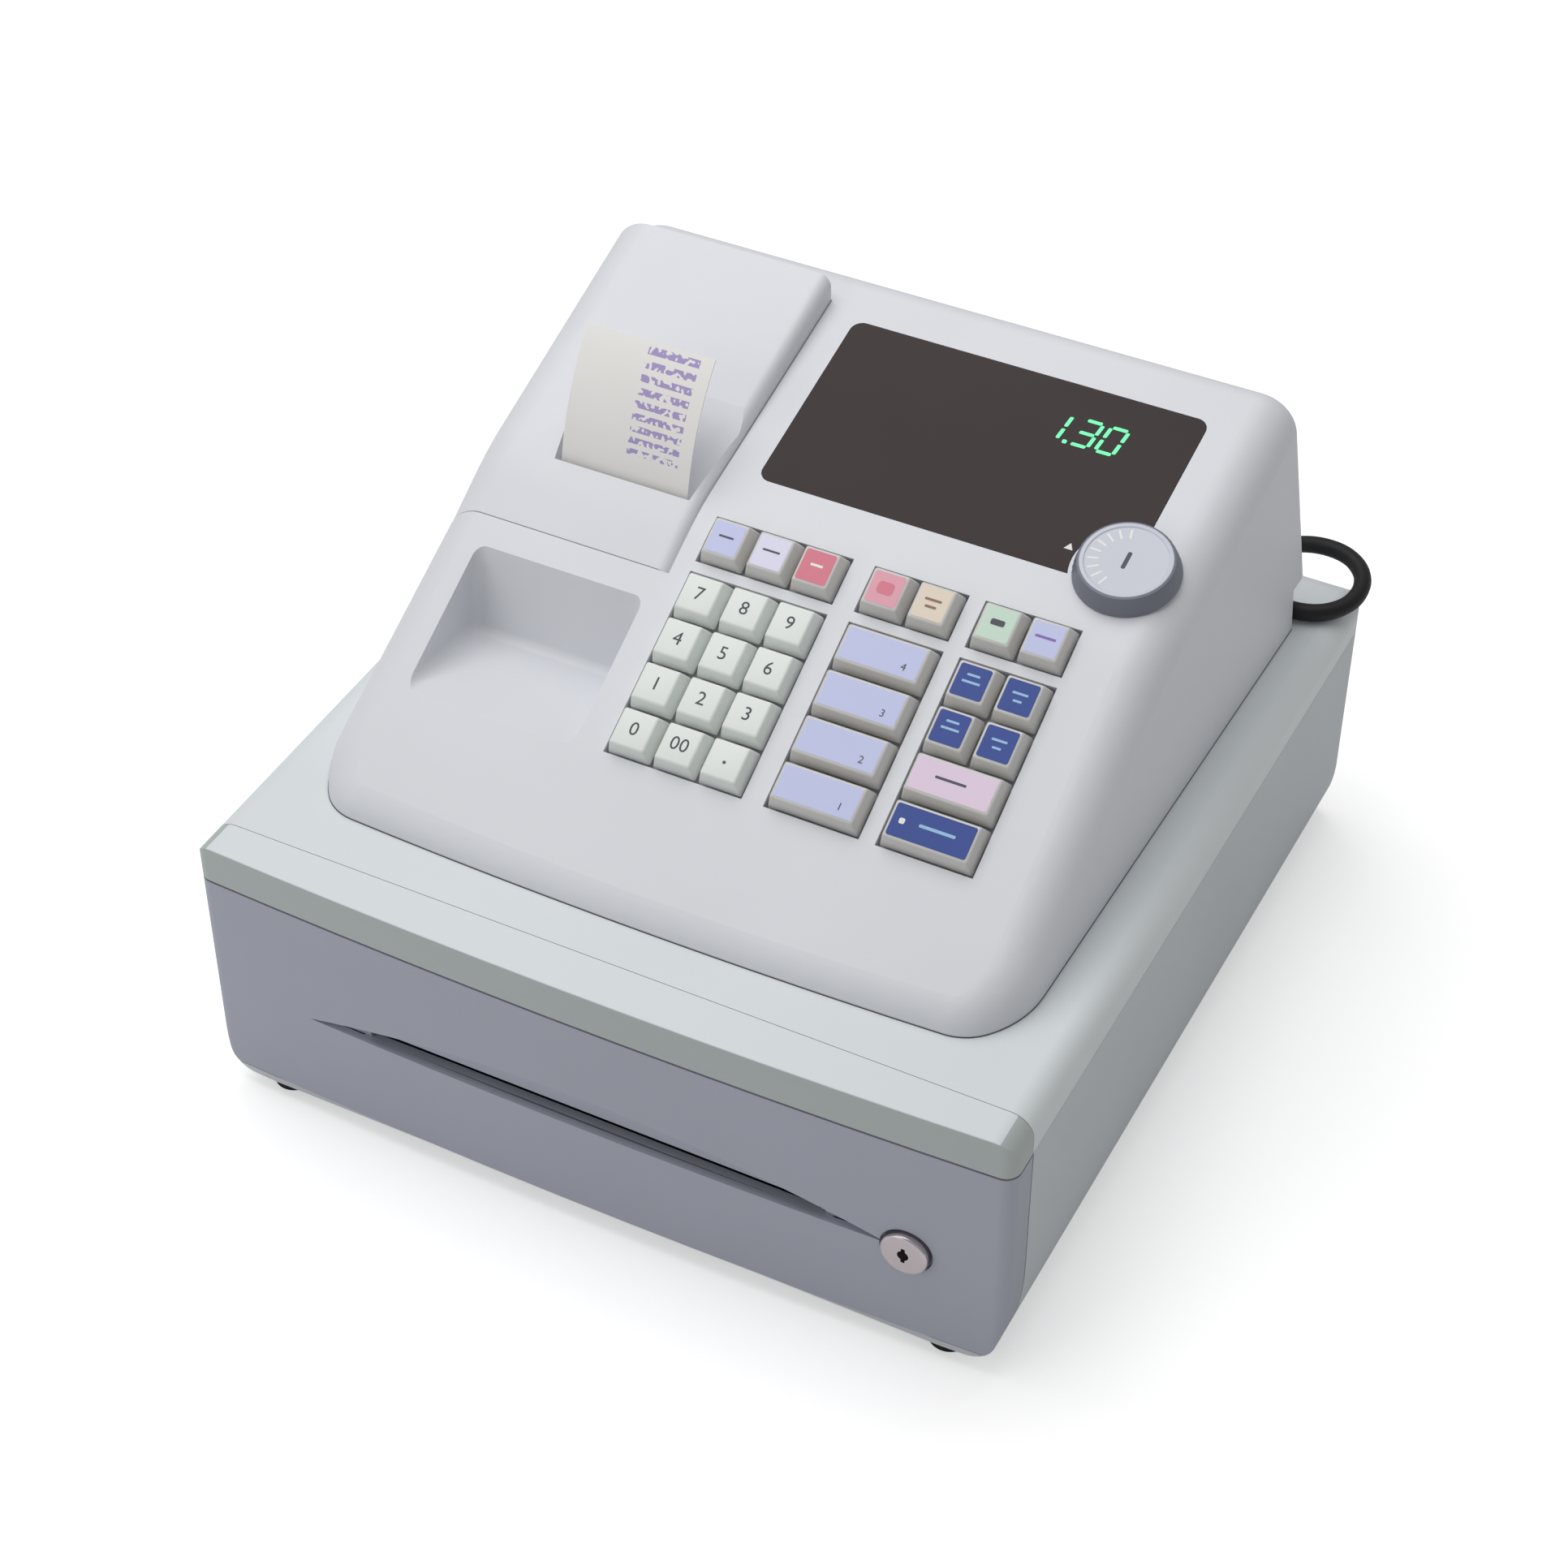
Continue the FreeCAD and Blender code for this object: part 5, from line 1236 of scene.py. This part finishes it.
@dataclass
class Studio:
    """Floor, backdrop light and camera."""

    target: Vector = field(default_factory=lambda: Vector((0.0, 5.47, 80.98)) * MM)
    distance: float = 1323.48 * MM
    azimuth: float = 27.171
    elevation: float = 41.441
    roll: float = 0.099
    shift_right: float = -10.142 * MM
    shift_up: float = -1.240 * MM
    focal_share: float = 4178.75 / 1932
    sensor: float = 36.0
    room_level: float = 0.36
    floor_half: float = 6.0
    floor_glow: float = 0.42

    LAMPS = [
        ("overhead", (-0.35, 0.15, 1.5), 1.4, 13.5),
        ("front_fill", (-0.9, -1.4, 0.8), 1.2, 4.5),
    ]
    """Name, place and side in metres, and power in watts."""

    def camera(self) -> None:
        """Sets the camera at the photograph's viewpoint."""
        az, el = math.radians(self.azimuth), math.radians(self.elevation)
        back = Vector((math.sin(az) * math.cos(el), -math.cos(az) * math.cos(el), math.sin(el)))
        right = Vector((math.cos(az), math.sin(az), 0.0))
        above = back.cross(right)
        turn = Matrix.Rotation(math.radians(self.roll), 3, back)
        right, above = turn @ right, turn @ above
        spot = (self.target + back * self.distance
                + right * self.shift_right + above * self.shift_up)
        data = bpy.data.cameras.new("viewpoint")
        data.sensor_width = self.sensor
        data.lens = self.sensor * self.focal_share
        data.clip_start = 0.01
        data.clip_end = 50.0
        holder = linked("viewpoint", data)
        frame = Matrix((right, above, back)).transposed().to_4x4()
        holder.matrix_world = Matrix.Translation(spot) @ frame
        bpy.context.scene.camera = holder

    def lamp(self, name: str, spot: tuple[float, float, float], size: float,
             power: float) -> None:
        """Adds a soft square lamp that looks at the till.

        Args:
            name: The lamp's name.
            spot: Its place in metres.
            size: Its side in metres.
            power: Its power in watts.
        """
        data = bpy.data.lights.new(name, "AREA")
        data.size = size
        data.energy = power
        holder = linked(name, data)
        holder.location = spot
        holder.rotation_mode = "QUATERNION"
        holder.rotation_quaternion = (Vector(spot) - self.target).to_track_quat("Z", "Y")

    def room(self) -> None:
        """A soft even light all round, behind a backdrop that the camera sees as white."""
        world = bpy.data.worlds.new("studio")
        bpy.context.scene.world = world
        world.use_nodes = True
        tree = world.node_tree
        shown = tree.nodes["Background"]
        shown.inputs["Color"].default_value = (1, 1, 1, 1)
        path = add_node(tree, "LightPath")
        level = add_node(tree, "MapRange", {"To Min": self.room_level, "To Max": 1.0})
        seen = work_out(tree, "MAXIMUM", path.outputs["Is Camera Ray"],
                        path.outputs["Is Transmission Ray"])
        tree.links.new(seen, level.inputs["Value"])
        tree.links.new(level.outputs["Result"], shown.inputs["Strength"])

    def floor(self) -> None:
        """A wide pale floor that reads as white and keeps a soft shadow."""
        form = bmesh.new()
        bmesh.ops.create_grid(form, x_segments=1, y_segments=1, size=self.floor_half)
        floor = linked("floor", mesh_of("floor", form))
        material = bpy.data.materials.new("floor_white")
        material.use_nodes = True
        tree = material.node_tree
        shader = tree.nodes["Principled BSDF"]
        shader.inputs["Base Color"].default_value = (0.9, 0.9, 0.9, 1)
        shader.inputs["Roughness"].default_value = 0.9
        shader.inputs["Emission Color"].default_value = (1, 1, 1, 1)
        path = add_node(tree, "LightPath")
        glow = work_out(tree, "MULTIPLY", path.outputs["Is Camera Ray"], self.floor_glow)
        tree.links.new(glow, shader.inputs["Emission Strength"])
        floor.data.materials.append(material)

    def build(self) -> None:
        """Builds the studio."""
        self.camera()
        for lamp in self.LAMPS:
            self.lamp(*lamp)
        self.room()
        self.floor()
        bpy.context.scene.view_settings.view_transform = "Standard"
        LOG.info("studio")


def main() -> None:
    """Loads the frame, dresses every sub-assembly and sets the studio."""
    logging.basicConfig(level=logging.INFO, format="%(name)s: %(message)s")
    FRAME.update(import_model())
    palette = Palette()
    Studio().build()
    CarriedNodes(palette).build()
    MainsLead(palette).build()
    KeyField(palette).build()
    DisplayFace(palette).build()
    ModeDial(palette).build()
    ShadowLines(palette).build()


if __name__ == "__main__":
    main()
